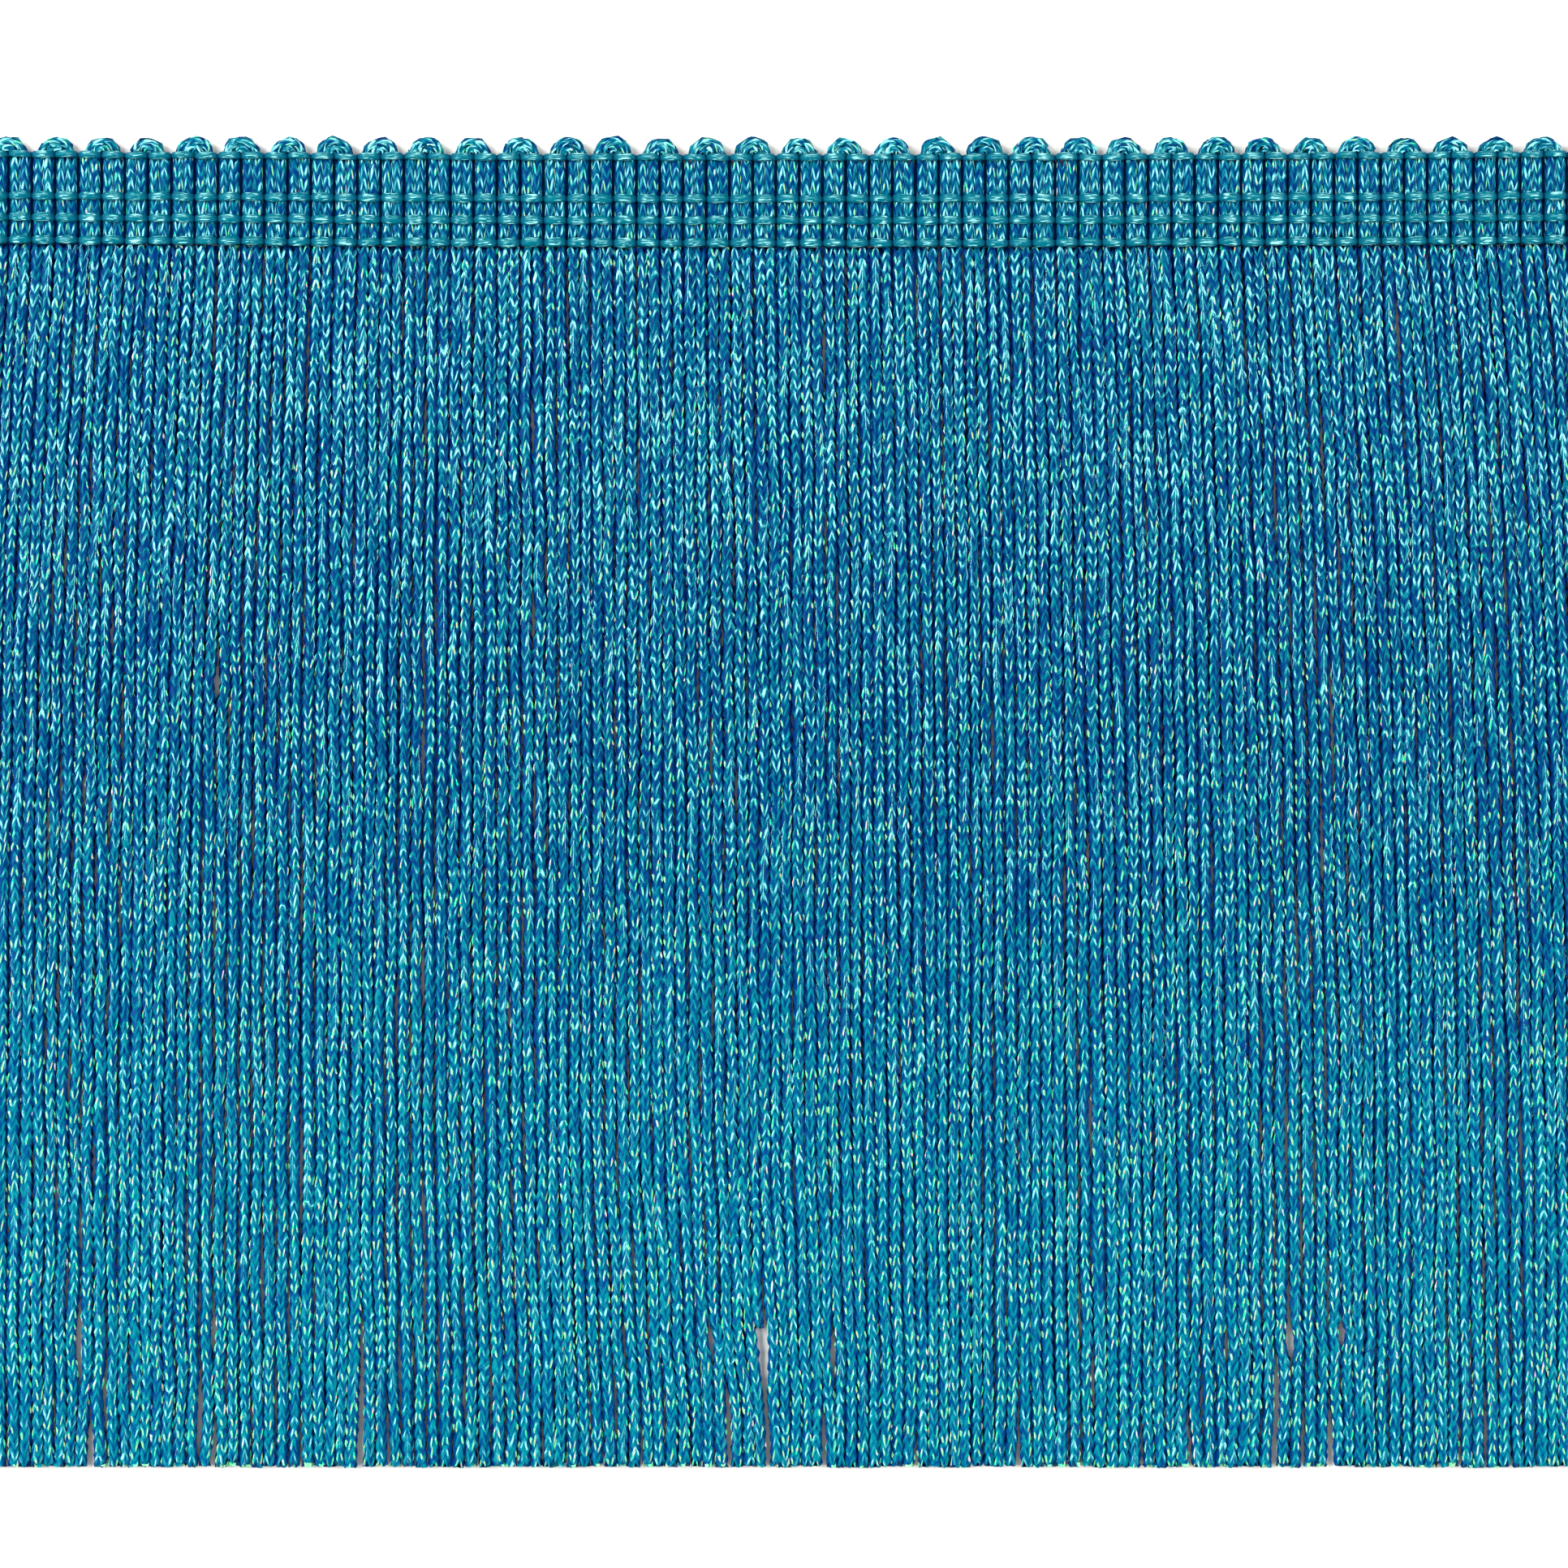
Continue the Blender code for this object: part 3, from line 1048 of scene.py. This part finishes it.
@dataclass
class FringeStrands:
    """All free strands below the last binding row, in joined locks."""

    layout: TrimLayout
    knit: ChainetteKnit
    lock_count: int = 4
    half_width: float = 0.83 * MM
    half_height: float = 0.68 * MM
    raised_top: float = 1.55 * MM
    tip_variation: float = 0.2 * MM
    seed: int = 41

    def strand(self, number: int, strip: AtlasStrip, chance: np.random.Generator) -> MeshPart:
        """Knit one strand.

        Args:
            number: The strand's number from the left.
            strip: Where its texture coordinates go.
            chance: Seeded source of unevenness.

        Returns:
            The closed strand.
        """
        half_height = self.half_height * chance.uniform(0.94, 1.06)
        course = FallingCourse(
            layout=self.layout,
            strand=number,
            half_height=half_height,
            lift=(self.raised_top - 2.0 * half_height) / 2.0,
            lift_fall=8.0 * MM,
            wobble_reach=chance.uniform(0.04, 0.16) * MM,
            wobble_length=chance.uniform(10.0, 34.0) * MM,
            wobble_phase=chance.uniform(0.0, math.tau),
        )
        shape = StrandShape(
            half_width=self.half_width * chance.uniform(0.93, 1.05),
            half_height=half_height,
            first_turn=math.radians(chance.uniform(-45.0, 45.0)),
            turn_reach=math.radians(chance.uniform(8.0, 35.0)),
            turn_length=chance.uniform(25.0, 90.0) * MM,
            turn_phase=chance.uniform(0.0, math.tau),
            bound_share=0.80,
        )
        tip_x = self.layout.strand_x(number, np.array([self.layout.full_fall]))
        length = self.layout.full_fall + float(self.layout.rise(tip_x)[0])
        length -= self.tip_variation * chance.random()
        if number == self.short_strand:
            length = self.layout.short_strand_fall
        return self.knit.tube(course, length, shape, strip, chance)

    @cached_property
    def short_strand(self) -> int:
        """Number of the strand that was cut short."""
        fall = np.array([self.layout.short_strand_fall])
        places = [self.layout.strand_x(n, fall)[0] for n in range(2 * self.layout.wale_count)]
        return int(np.argmin(np.abs(np.array(places) - self.layout.short_strand_across)))

    def build(self, finish: bpy.types.Material) -> list[bpy.types.Object]:
        """Knit every strand and join them into locks.

        Args:
            finish: The chainette's material.

        Returns:
            One object for each lock.
        """
        chance = np.random.default_rng(self.seed)
        strands = 2 * self.layout.wale_count
        per_lock = math.ceil(strands / self.lock_count)
        locks = []
        for lock in range(self.lock_count):
            joiner = MeshJoiner(f"fringe_lock_{lock + 1}")
            numbers = range(lock * per_lock, min(strands, (lock + 1) * per_lock))
            for place, number in enumerate(numbers):
                strip = AtlasStrip(index=place, count=len(numbers))
                joiner.add(self.strand(number, strip, chance))
            made = joiner.build(finish)
            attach(made, ROOT_BODY)
            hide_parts("fringe")
            locks.append(made)
        return locks


@dataclass
class HeadingBand:
    """The ribbed band: a closed sheet whose ribs are pairs of chainette strands."""

    layout: TrimLayout
    knit: ChainetteKnit
    past_rows: float = 0.35 * MM
    free_height: float = 1.62 * MM
    bound_height: float = 1.26 * MM
    pinch_reach: float = 0.60 * MM
    valley_height: float = 0.52 * MM
    half_width: float = 0.59 * MM
    strand_columns: int = 9
    outer_lift: float = 0.50
    inner_lift: float = 0.76
    relief_share: float = 0.60
    # Painted light on the band: flat painted shade in the valleys and on the back, and more painted
    # shade on the ribs' sides than on their crowns.
    valley_shade: float = 0.40
    edge_shade: float = 0.50
    crown_light: float = 0.94
    crown_shares: tuple[float, float] = (0.45, 0.85)
    back_shade: float = 0.2
    point_jitter: float = 0.08
    seed: int = 7

    @property
    def depth(self) -> float:
        """Length of the band along Y."""
        return self.layout.row_ys[0] - self.layout.row_ys[3] + 2 * self.past_rows

    def pinched_height(self, y: Array) -> Array:
        """Height of a strand's back at a level, drawn in under each binding row."""
        pinch = np.zeros_like(y)
        for row_y in self.layout.row_ys:
            pinch = np.maximum(pinch, np.exp(-(((y - row_y) / self.pinch_reach) ** 2)))
        return self.free_height + (self.bound_height - self.free_height) * pinch

    def columns(self, wale: int, chance: np.random.Generator) -> tuple[Array, Array, Array]:
        """Columns of points across one rib, after the valley before it.

        Args:
            wale: The rib's number from the left.
            chance: Seeded source of unevenness.

        Returns:
            Their distances from the heading's middle, their share of a strand's height and the
            angles of the knit there.
        """
        lean = np.radians(np.linspace(-90.0, 90.0, self.strand_columns))
        centre = self.layout.valley_x(wale) + self.layout.wale_pitch / 2
        xs = [np.array([self.layout.valley_x(wale)])]
        shares = [np.array([0.0])]
        angles = [np.array([0.0])]
        for side in (-1.0, 1.0):
            middle = centre + side * self.layout.strand_from_rib
            lift = np.where(lean * side > 0.0, self.outer_lift, self.inner_lift)
            xs.append(middle + self.half_width * np.sin(lean))
            shares.append(lift + (1.0 - lift) * np.cos(lean))
            angles.append(np.degrees(lean) + chance.choice([0.0, 45.0]))
        return np.concatenate(xs), np.concatenate(shares), np.concatenate(angles)

    def sheet(self, chance: np.random.Generator) -> MeshPart:
        """Knit the closed sheet.

        Args:
            chance: Seeded source of unevenness.

        Returns:
            The closed sheet.
        """
        parts = [self.columns(wale, chance) for wale in range(self.layout.wale_count)]
        x = np.concatenate([part[0] for part in parts] + [[self.layout.length / 2]])[None, :]
        share = np.concatenate([part[1] for part in parts] + [[0.0]])[None, :]
        angle = np.concatenate([part[2] for part in parts] + [[0.0]])[None, :]
        rings = 2 * round(self.depth / self.knit.stitch) + 1
        line = np.linspace(0.0, self.depth, rings)[:, None]
        leg = (np.arange(rings) % 2.0)[:, None]
        fold = self.knit.fold(angle)
        on_rib = share > 0.0
        rib, place = np.divmod(np.arange(x.size), 2 * self.strand_columns + 1)
        strand = (2 * rib + (place > self.strand_columns)).reshape(1, -1)
        shift = chance.uniform(-0.5, 0.5, strand.max() + 1)[strand]
        steepness = chance.normal(1.0, self.knit.steepness_variation, (rings, strand.max() + 1))
        chevron = self.knit.chevron_rise * steepness[:, strand[0]] * (fold - 0.5)
        along = line + self.knit.stitch * shift - chevron * on_rib
        along += chance.normal(0.0, self.point_jitter, along.shape) * self.knit.stitch * on_rib
        along = self.knit.squeeze(along, self.depth, line)
        y = self.layout.row_ys[0] + self.past_rows - along
        swell = chance.normal(0.0, self.knit.unevenness, along.shape)
        depth = np.where(on_rib, self.knit.depth(fold, leg), self.knit.gap_centre_depth)
        z = share * self.pinched_height(y) + ~on_rib * self.valley_height
        z = z - on_rib * share * self.relief_share * (depth + self.knit.swell * swell)
        painted_light, tone, film = self.knit.lustre(depth, fold, leg * on_rib, 0.0 * line, chance)
        # Painted shade towards the ribs' sides and lighter painted light on their crowns; the valleys
        # take a flat painted shade.
        low_share, high_share = self.crown_shares
        crown = smooth_step((share - low_share) / (high_share - low_share))
        painted_light = painted_light * (self.edge_shade + (self.crown_light - self.edge_shade) * crown)
        painted_light = np.where(on_rib, painted_light, self.valley_shade)
        knit = np.stack(
            [
                np.broadcast_to(line / self.knit.stitch, depth.shape),
                np.broadcast_to(angle / 45.0, depth.shape),
                np.broadcast_to(strand * 1.7, depth.shape),
            ],
            axis=-1,
        )
        world_x = np.broadcast_to(x + self.layout.heading_middle, depth.shape)
        world_y = y + self.layout.rise(x)
        top = np.stack([world_x, world_y, z], axis=-1)
        under = top[[0, -1]].copy()
        under[..., 2] = 0.0
        faces, uvs = self.skin(rings, x.size)
        return MeshPart(
            points=np.concatenate([top.reshape(-1, 3), under.reshape(-1, 3)]),
            faces=faces,
            uvs=uvs,
            knit=np.concatenate([knit.reshape(-1, 3), knit[[0, -1]].reshape(-1, 3)]),
            painted_light=np.concatenate([painted_light.ravel(), np.full(2 * x.size, self.back_shade)]),
            tone=np.concatenate([tone.ravel(), np.full(2 * x.size, self.knit.plain_tone)]),
            film=np.concatenate([film.ravel(), np.zeros(2 * x.size)]),
            seam=np.zeros(film.size + 2 * x.size),
        )

    @staticmethod
    def skin(rings: int, columns: int) -> tuple[tuple[Array, ...], tuple[Array, ...]]:
        """Faces and texture coordinates of the closed sheet.

        Args:
            rings: Rows of points on the face side.
            columns: Points in each row.

        Returns:
            The faces by their number of corners, and their corners' texture coordinates.
        """
        bands = 10
        per_band = math.ceil((columns - 1) / bands)
        ring, column = np.meshgrid(np.arange(rings - 1), np.arange(columns - 1), indexing="ij")
        ring = ring.ravel()
        column = column.ravel()
        first = ring * columns + column
        face_side = np.stack([first, first + columns, first + columns + 1, first + 1], axis=1)

        def lay(rows: Array, bottom: float, height: float) -> Array:
            """Texture coordinates of faces, folded into bands one above the other.

            Args:
                rows: Share of the way down this side of the sheet, at each corner.
                bottom: Where this side starts within a band.
                height: How much of a band it takes.

            Returns:
                The texture coordinates of each corner.
            """
            across = np.stack([column[: len(rows)]] * 4, axis=1) + np.array([0, 0, 1, 1])
            band = (column[: len(rows)] // per_band)[:, None]
            u = 0.01 + 0.98 * (across - band * per_band) / per_band
            v = (band + bottom + height * rows) / bands
            return np.stack([u, v], axis=-1)

        face_rows = np.stack([ring, ring + 1, ring + 1, ring], axis=1) / (rings - 1)
        column_one = np.arange(columns - 1)
        under = rings * columns + column_one
        last = (rings - 1) * columns + column_one
        back = np.stack([under, under + 1, under + columns + 1, under + columns], axis=1)
        head = np.stack([under, column_one, column_one + 1, under + 1], axis=1)
        foot = np.stack([last, under + columns, under + columns + 1, last + 1], axis=1)
        edge_rows = np.tile([0.0, 1.0, 1.0, 0.0], (columns - 1, 1))
        quads = np.concatenate([face_side, back, head, foot])
        face_uvs = lay(face_rows, 0.02, 0.66)
        back_uvs = lay(edge_rows, 0.72, 0.14)[:, [0, 3, 2, 1]]
        edge_uvs = [lay(edge_rows, 0.88, 0.04), lay(edge_rows, 0.94, 0.04)]
        quad_uvs = np.concatenate([face_uvs, back_uvs, *edge_uvs])
        sides = []
        side_uvs = []
        down = np.linspace(0.02, 0.98, rings)
        for column_at, face_u, back_u in ((0, 0.002, 0.008), (columns - 1, 0.992, 0.998)):
            face_line = [row * columns + column_at for row in range(rings)]
            back_line = [(rings + 1) * columns + column_at, rings * columns + column_at]
            sides.append(face_line + back_line)
            side_uvs.append([(face_u, v) for v in down] + [(back_u, down[-1]), (back_u, down[0])])
        sides[0].reverse()
        side_uvs[0].reverse()
        return (quads, np.array(sides)), (quad_uvs, np.array(side_uvs))

    def build(self, finish: bpy.types.Material) -> bpy.types.Object:
        """Make the heading's object.

        Args:
            finish: The chainette's material.

        Returns:
            The heading.
        """
        joiner = MeshJoiner("heading_band")
        joiner.add(self.sheet(np.random.default_rng(self.seed)))
        made = joiner.build(finish)
        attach(made, ROOT_BODY)
        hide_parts("heading")
        return made


@dataclass(frozen=True)
class ArchCourse:
    """The half-round line of a picot's strand, standing on the first binding row."""

    centre: tuple[float, float]
    half_width: float
    height: float
    low_z: float
    high_z: float
    lean: float

    @property
    def length(self) -> float:
        """Length of the line."""
        mean = (self.half_width + self.height) / 2
        return math.pi * mean + 2.0 * self.foot

    @property
    def foot(self) -> float:
        """Straight length hidden under the binding row at each end."""
        return 0.25 * MM

    def frames(self, along: Array) -> tuple[Array, Array, Array]:
        """Centres, across and up vectors along the arch.

        Args:
            along: Distances from the arch's left end.

        Returns:
            The centres, across vectors and up vectors.
        """
        turn = (along - self.foot) / (self.length - 2.0 * self.foot) * math.pi
        inside = np.clip(turn, 0.0, math.pi)
        below = np.maximum(-turn, turn - math.pi).clip(0.0) / math.pi * self.length
        height = self.height * np.sin(inside)
        x = self.centre[0] - self.half_width * np.cos(inside) + self.lean * height
        y = self.centre[1] + height - below
        z = self.low_z + (self.high_z - self.low_z) * np.sin(inside)
        slope_x = self.half_width * np.sin(inside) + 1e-9
        slope_y = self.height * np.cos(inside)
        norm = np.hypot(slope_x, slope_y)
        across = np.stack([slope_y / norm, -slope_x / norm, np.zeros_like(x)], axis=-1)
        up = np.zeros_like(across)
        up[..., 2] = 1.0
        return np.stack([x, y, z], axis=-1), across, up


@dataclass
class PicotEdge:
    """The row of small domes, each an outer and an inner arch of chainette."""

    layout: TrimLayout
    knit: ChainetteKnit
    outer_half_width: float = 1.48 * MM
    outer_tube: float = 0.76 * MM
    inner_half_width: float = 0.62 * MM
    inner_tube: float = 0.74 * MM
    outer_levels: tuple[float, float] = (0.62 * MM, 0.66 * MM)
    inner_levels: tuple[float, float] = (0.70 * MM, 1.12 * MM)
    inner_rise_share: float = 0.42
    tube_past_crown: float = 0.85
    tube_half_height: float = 0.62 * MM
    root_above_row: float = 0.30 * MM
    seed: int = 19

    def dome(self, number: int, chance: np.random.Generator) -> list[MeshPart]:
        """Knit one picot.

        Args:
            number: The picot's number from the left.
            chance: Seeded source of unevenness.

        Returns:
            Its two arches.
        """
        x = self.layout.valley_x(2 * number + 1) + chance.uniform(-0.12, 0.12) * MM
        root = self.layout.row_ys[0] + self.root_above_row + float(self.layout.rise(x))
        crown = self.layout.top_y - root - self.outer_tube * self.tube_past_crown
        size = chance.uniform(0.93, 1.04)
        lean = chance.uniform(-0.16, 0.16)
        centre = (x + self.layout.heading_middle, root)
        picots = self.layout.wale_count // 2
        inner_rise = crown * self.inner_rise_share
        arches = (
            (self.outer_half_width * size, crown * size, self.outer_tube, self.outer_levels),
            (self.inner_half_width, inner_rise, self.inner_tube, self.inner_levels),
        )
        parts = []
        for place, (half_width, height, tube, levels) in enumerate(arches):
            course = ArchCourse(centre, half_width, height, *levels, lean)
            shape = StrandShape(
                half_width=tube,
                half_height=self.tube_half_height,
                first_turn=math.radians(chance.choice([0.0, 45.0]) + chance.uniform(-8.0, 8.0)),
                turn_reach=0.0,
                turn_length=1.0,
                turn_phase=0.0,
            )
            strip = AtlasStrip(index=2 * number + place, count=2 * picots)
            parts.append(self.knit.tube(course, course.length, shape, strip, chance))
        return parts

    def build(self, finish: bpy.types.Material) -> bpy.types.Object:
        """Knit every picot and join them.

        Args:
            finish: The chainette's material.

        Returns:
            The picot edge.
        """
        chance = np.random.default_rng(self.seed)
        joiner = MeshJoiner("picots")
        for number in range(self.layout.wale_count // 2):
            for part in self.dome(number, chance):
                joiner.add(part)
        made = joiner.build(finish)
        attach(made, ROOT_BODY)
        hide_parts("picot_edge")
        return made


@dataclass
class BindingRow:
    """One row of smooth yarn that crosses the ribs and dips between them."""

    layout: TrimLayout
    row: int
    stations: int = 10
    sides: int = 16
    half_width: float = 0.51 * MM
    narrow_half_width: float = 0.26 * MM
    crest_height: float = 1.97 * MM
    dip_height: float = 1.12 * MM
    half_thickness: float = 0.30 * MM
    first_row_share: float = 0.80
    bulge_power: float = 0.38
    tilt_spread: float = 2.2
    offset_spread: float = 0.035 * MM
    width_spread: float = 0.05
    filament_depth: float = 0.022 * MM
    # Painted light at the middle of each wale, less a random tone per filament.
    crest_light: float = 0.85
    grain_relief: float = 0.12

    def tube(self, chance: np.random.Generator) -> MeshPart:
        """Shape the row's closed yarn.

        Args:
            chance: Seeded source of unevenness.

        Returns:
            The closed yarn.
        """
        wales = self.layout.wale_count
        rings = wales * self.stations + 1
        place = np.linspace(0.0, wales, rings)
        wale = np.minimum(place.astype(int), wales - 1)
        within = place - wale
        middle = np.sin(np.pi * np.clip(within, 0.0, 1.0)).clip(0.0)
        bulge = middle**self.bulge_power
        tilt = np.radians(chance.normal(0.0, self.tilt_spread, wales))[wale]
        offset = chance.normal(0.0, self.offset_spread, wales)[wale]
        width_share = chance.normal(1.0, self.width_spread, wales)[wale]
        x = self.layout.valley_x(0) + place * self.layout.wale_pitch
        lean = (within - 0.5) * self.layout.wale_pitch * np.tan(tilt)
        y = self.layout.row_ys[self.row - 1] + (lean + offset) * bulge + self.layout.rise(x)
        wide = self.half_width * width_share * (self.first_row_share if self.row == 1 else 1.0)
        half_width = self.narrow_half_width + (wide - self.narrow_half_width) * bulge
        top = self.dip_height + (self.crest_height - self.dip_height) * bulge
        angles = np.arange(self.sides) * math.tau / self.sides
        grain = chance.uniform(-1.0, 1.0, (wales, self.sides))[wale]
        grain = grain + chance.uniform(-0.5, 0.5, (rings, self.sides))
        groove = self.filament_depth * grain
        side = np.sin(angles)[None, :]
        rise = np.cos(angles)[None, :]
        square = (np.abs(side) ** 3 + np.abs(rise) ** 3) ** (-1.0 / 3.0)
        across = (half_width[:, None] - groove) * side * square
        lift = (self.half_thickness - groove) * rise * square
        centre_z = (top - self.half_thickness)[:, None]
        points = np.stack(
            [
                np.broadcast_to(x[:, None] + self.layout.heading_middle, across.shape),
                y[:, None] - across,
                centre_z + lift,
            ],
            axis=-1,
        )
        knit = np.stack(
            [
                np.broadcast_to(place[:, None], across.shape),
                np.broadcast_to(np.arange(self.sides)[None, :], across.shape),
                np.broadcast_to(wale[:, None] * 3.1 + self.row * 300.0, across.shape),
            ],
            axis=-1,
        )
        # Painted light: highest where the row bulges over a rib, as a painted highlight, with painted
        # shade where it dips between ribs, plus random tone per filament.
        painted_light = middle[:, None] * (self.crest_light - self.grain_relief * grain)
        quads, uvs = ChainetteKnit.skin(rings, self.sides, AtlasStrip(index=0, count=1))
        return MeshPart(
            points=points.reshape(-1, 3),
            faces=(quads,),
            uvs=(uvs,),
            knit=knit.reshape(-1, 3),
            painted_light=painted_light.ravel(),
            tone=np.repeat(chance.uniform(0.0, 1.0, rings), self.sides),
            film=np.zeros(painted_light.size),
            seam=np.zeros(painted_light.size),
        )

    def build(self, finish: bpy.types.Material) -> bpy.types.Object:
        """Make the row's object.

        Args:
            finish: The binding yarn's material.

        Returns:
            The row.
        """
        joiner = MeshJoiner(f"binding_yarn_{self.row}")
        joiner.add(self.tube(np.random.default_rng(100 + self.row)))
        made = joiner.build(finish)
        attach(made, ROOT_BODY)
        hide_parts(f"binding_row_{self.row}")
        return made


@dataclass
class Studio:
    """Pale floor, soft lights and the camera straight above."""

    layout: TrimLayout
    photo_pixels: int = 1932
    pixel: float = 0.09276 * MM
    lens: float = 100.0
    sensor: float = 36.0
    centre_right_of_middle: float = -1.744 * MM
    centre_above_middle: float = 2.03 * MM
    photo_plane: float = 1.40 * MM
    floor_half: float = 1.5
    floor_depth: float = 0.02 * MM
    room_strength: float = 0.47

    def build(self) -> None:
        """Make the floor, the lights and the camera."""
        self.floor()
        self.light("key", place=(-0.72, 0.22, 0.55), size=0.70, power=17.5)
        self.light("fill", place=(0.75, 0.05, 0.50), size=0.70, power=10.8)
        self.surround()
        self.camera()

    def floor(self) -> None:
        """Lay the pale floor just under the trim."""
        tree = ShaderTree("pale_floor")
        finish = tree.finish(Base_Color=(0.93, 0.91, 0.85, 1.0), Roughness=0.8)
        mesh = bpy.data.meshes.new("pale_floor")
        signs = ((-1, -1), (1, -1), (1, 1), (-1, 1))
        corners = [(x * self.floor_half, y * self.floor_half, -self.floor_depth) for x, y in signs]
        mesh.from_pydata(corners, [], [(0, 1, 2, 3)])
        mesh.materials.append(finish)
        made = bpy.data.objects.new("pale_floor", mesh)
        bpy.context.scene.collection.objects.link(made)

    def light(self, name: str, place: tuple[float, float, float], size: float, power: float) -> None:
        """Hang a square soft light that faces the trim's middle.

        Args:
            name: The light's name.
            place: Where it hangs.
            size: Length of its side.
            power: Its power in watts.
        """
        lamp = bpy.data.lights.new(name, "AREA")
        lamp.shape = "SQUARE"
        lamp.size = size
        lamp.energy = power
        made = bpy.data.objects.new(name, lamp)
        made.location = place
        made.rotation_euler = Vector(place).to_track_quat("Z", "Y").to_euler()
        bpy.context.scene.collection.objects.link(made)

    def surround(self) -> None:
        """Light the room evenly and dimly."""
        world = bpy.data.worlds.new("studio")
        world.use_nodes = True
        background = world.node_tree.nodes["Background"]
        background.inputs["Color"].default_value = (0.95, 0.98, 1.0, 1.0)
        background.inputs["Strength"].default_value = self.room_strength
        bpy.context.scene.world = world
        bpy.context.scene.view_settings.view_transform = "Standard"

    def camera(self) -> None:
        """Hang the camera straight above, framed as the photograph is."""
        data = bpy.data.cameras.new("camera")
        data.lens = self.lens
        data.sensor_width = self.sensor
        made = bpy.data.objects.new("camera", data)
        distance = self.photo_pixels * self.pixel * self.lens / self.sensor + self.photo_plane
        x = self.layout.heading_middle + self.centre_right_of_middle
        made.location = (x, self.centre_above_middle, distance)
        bpy.context.scene.collection.objects.link(made)
        bpy.context.scene.camera = made


def main() -> None:
    """Build the trim's pieces in order and report each."""
    logging.basicConfig(level=logging.INFO, format="%(name)s: %(message)s")
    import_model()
    layout = TrimLayout.from_frame()
    knit = ChainetteKnit()
    chainette = ChainetteFinish().material()
    yarn = BindingFinish().material()
    band = HeadingBand(layout, knit)
    heading = band.build(chainette)
    # The picots get an even painted lightening and less painted shade on their sides.
    picot_knit = replace(knit, rings_per_stitch=4, painted_light_lift=0.13, side_shade=0.40)
    others = [PicotEdge(layout, picot_knit).build(chainette)]
    others += [BindingRow(layout, row).build(yarn) for row in range(1, 5)]
    others += FringeStrands(layout, knit).build(chainette)
    layout.length
    band.depth
    for made in [heading, *others]:
        LOG.info("%s has %d faces", made.name, len(made.data.polygons))
    Studio(layout).build()


if __name__ == "__main__":
    main()
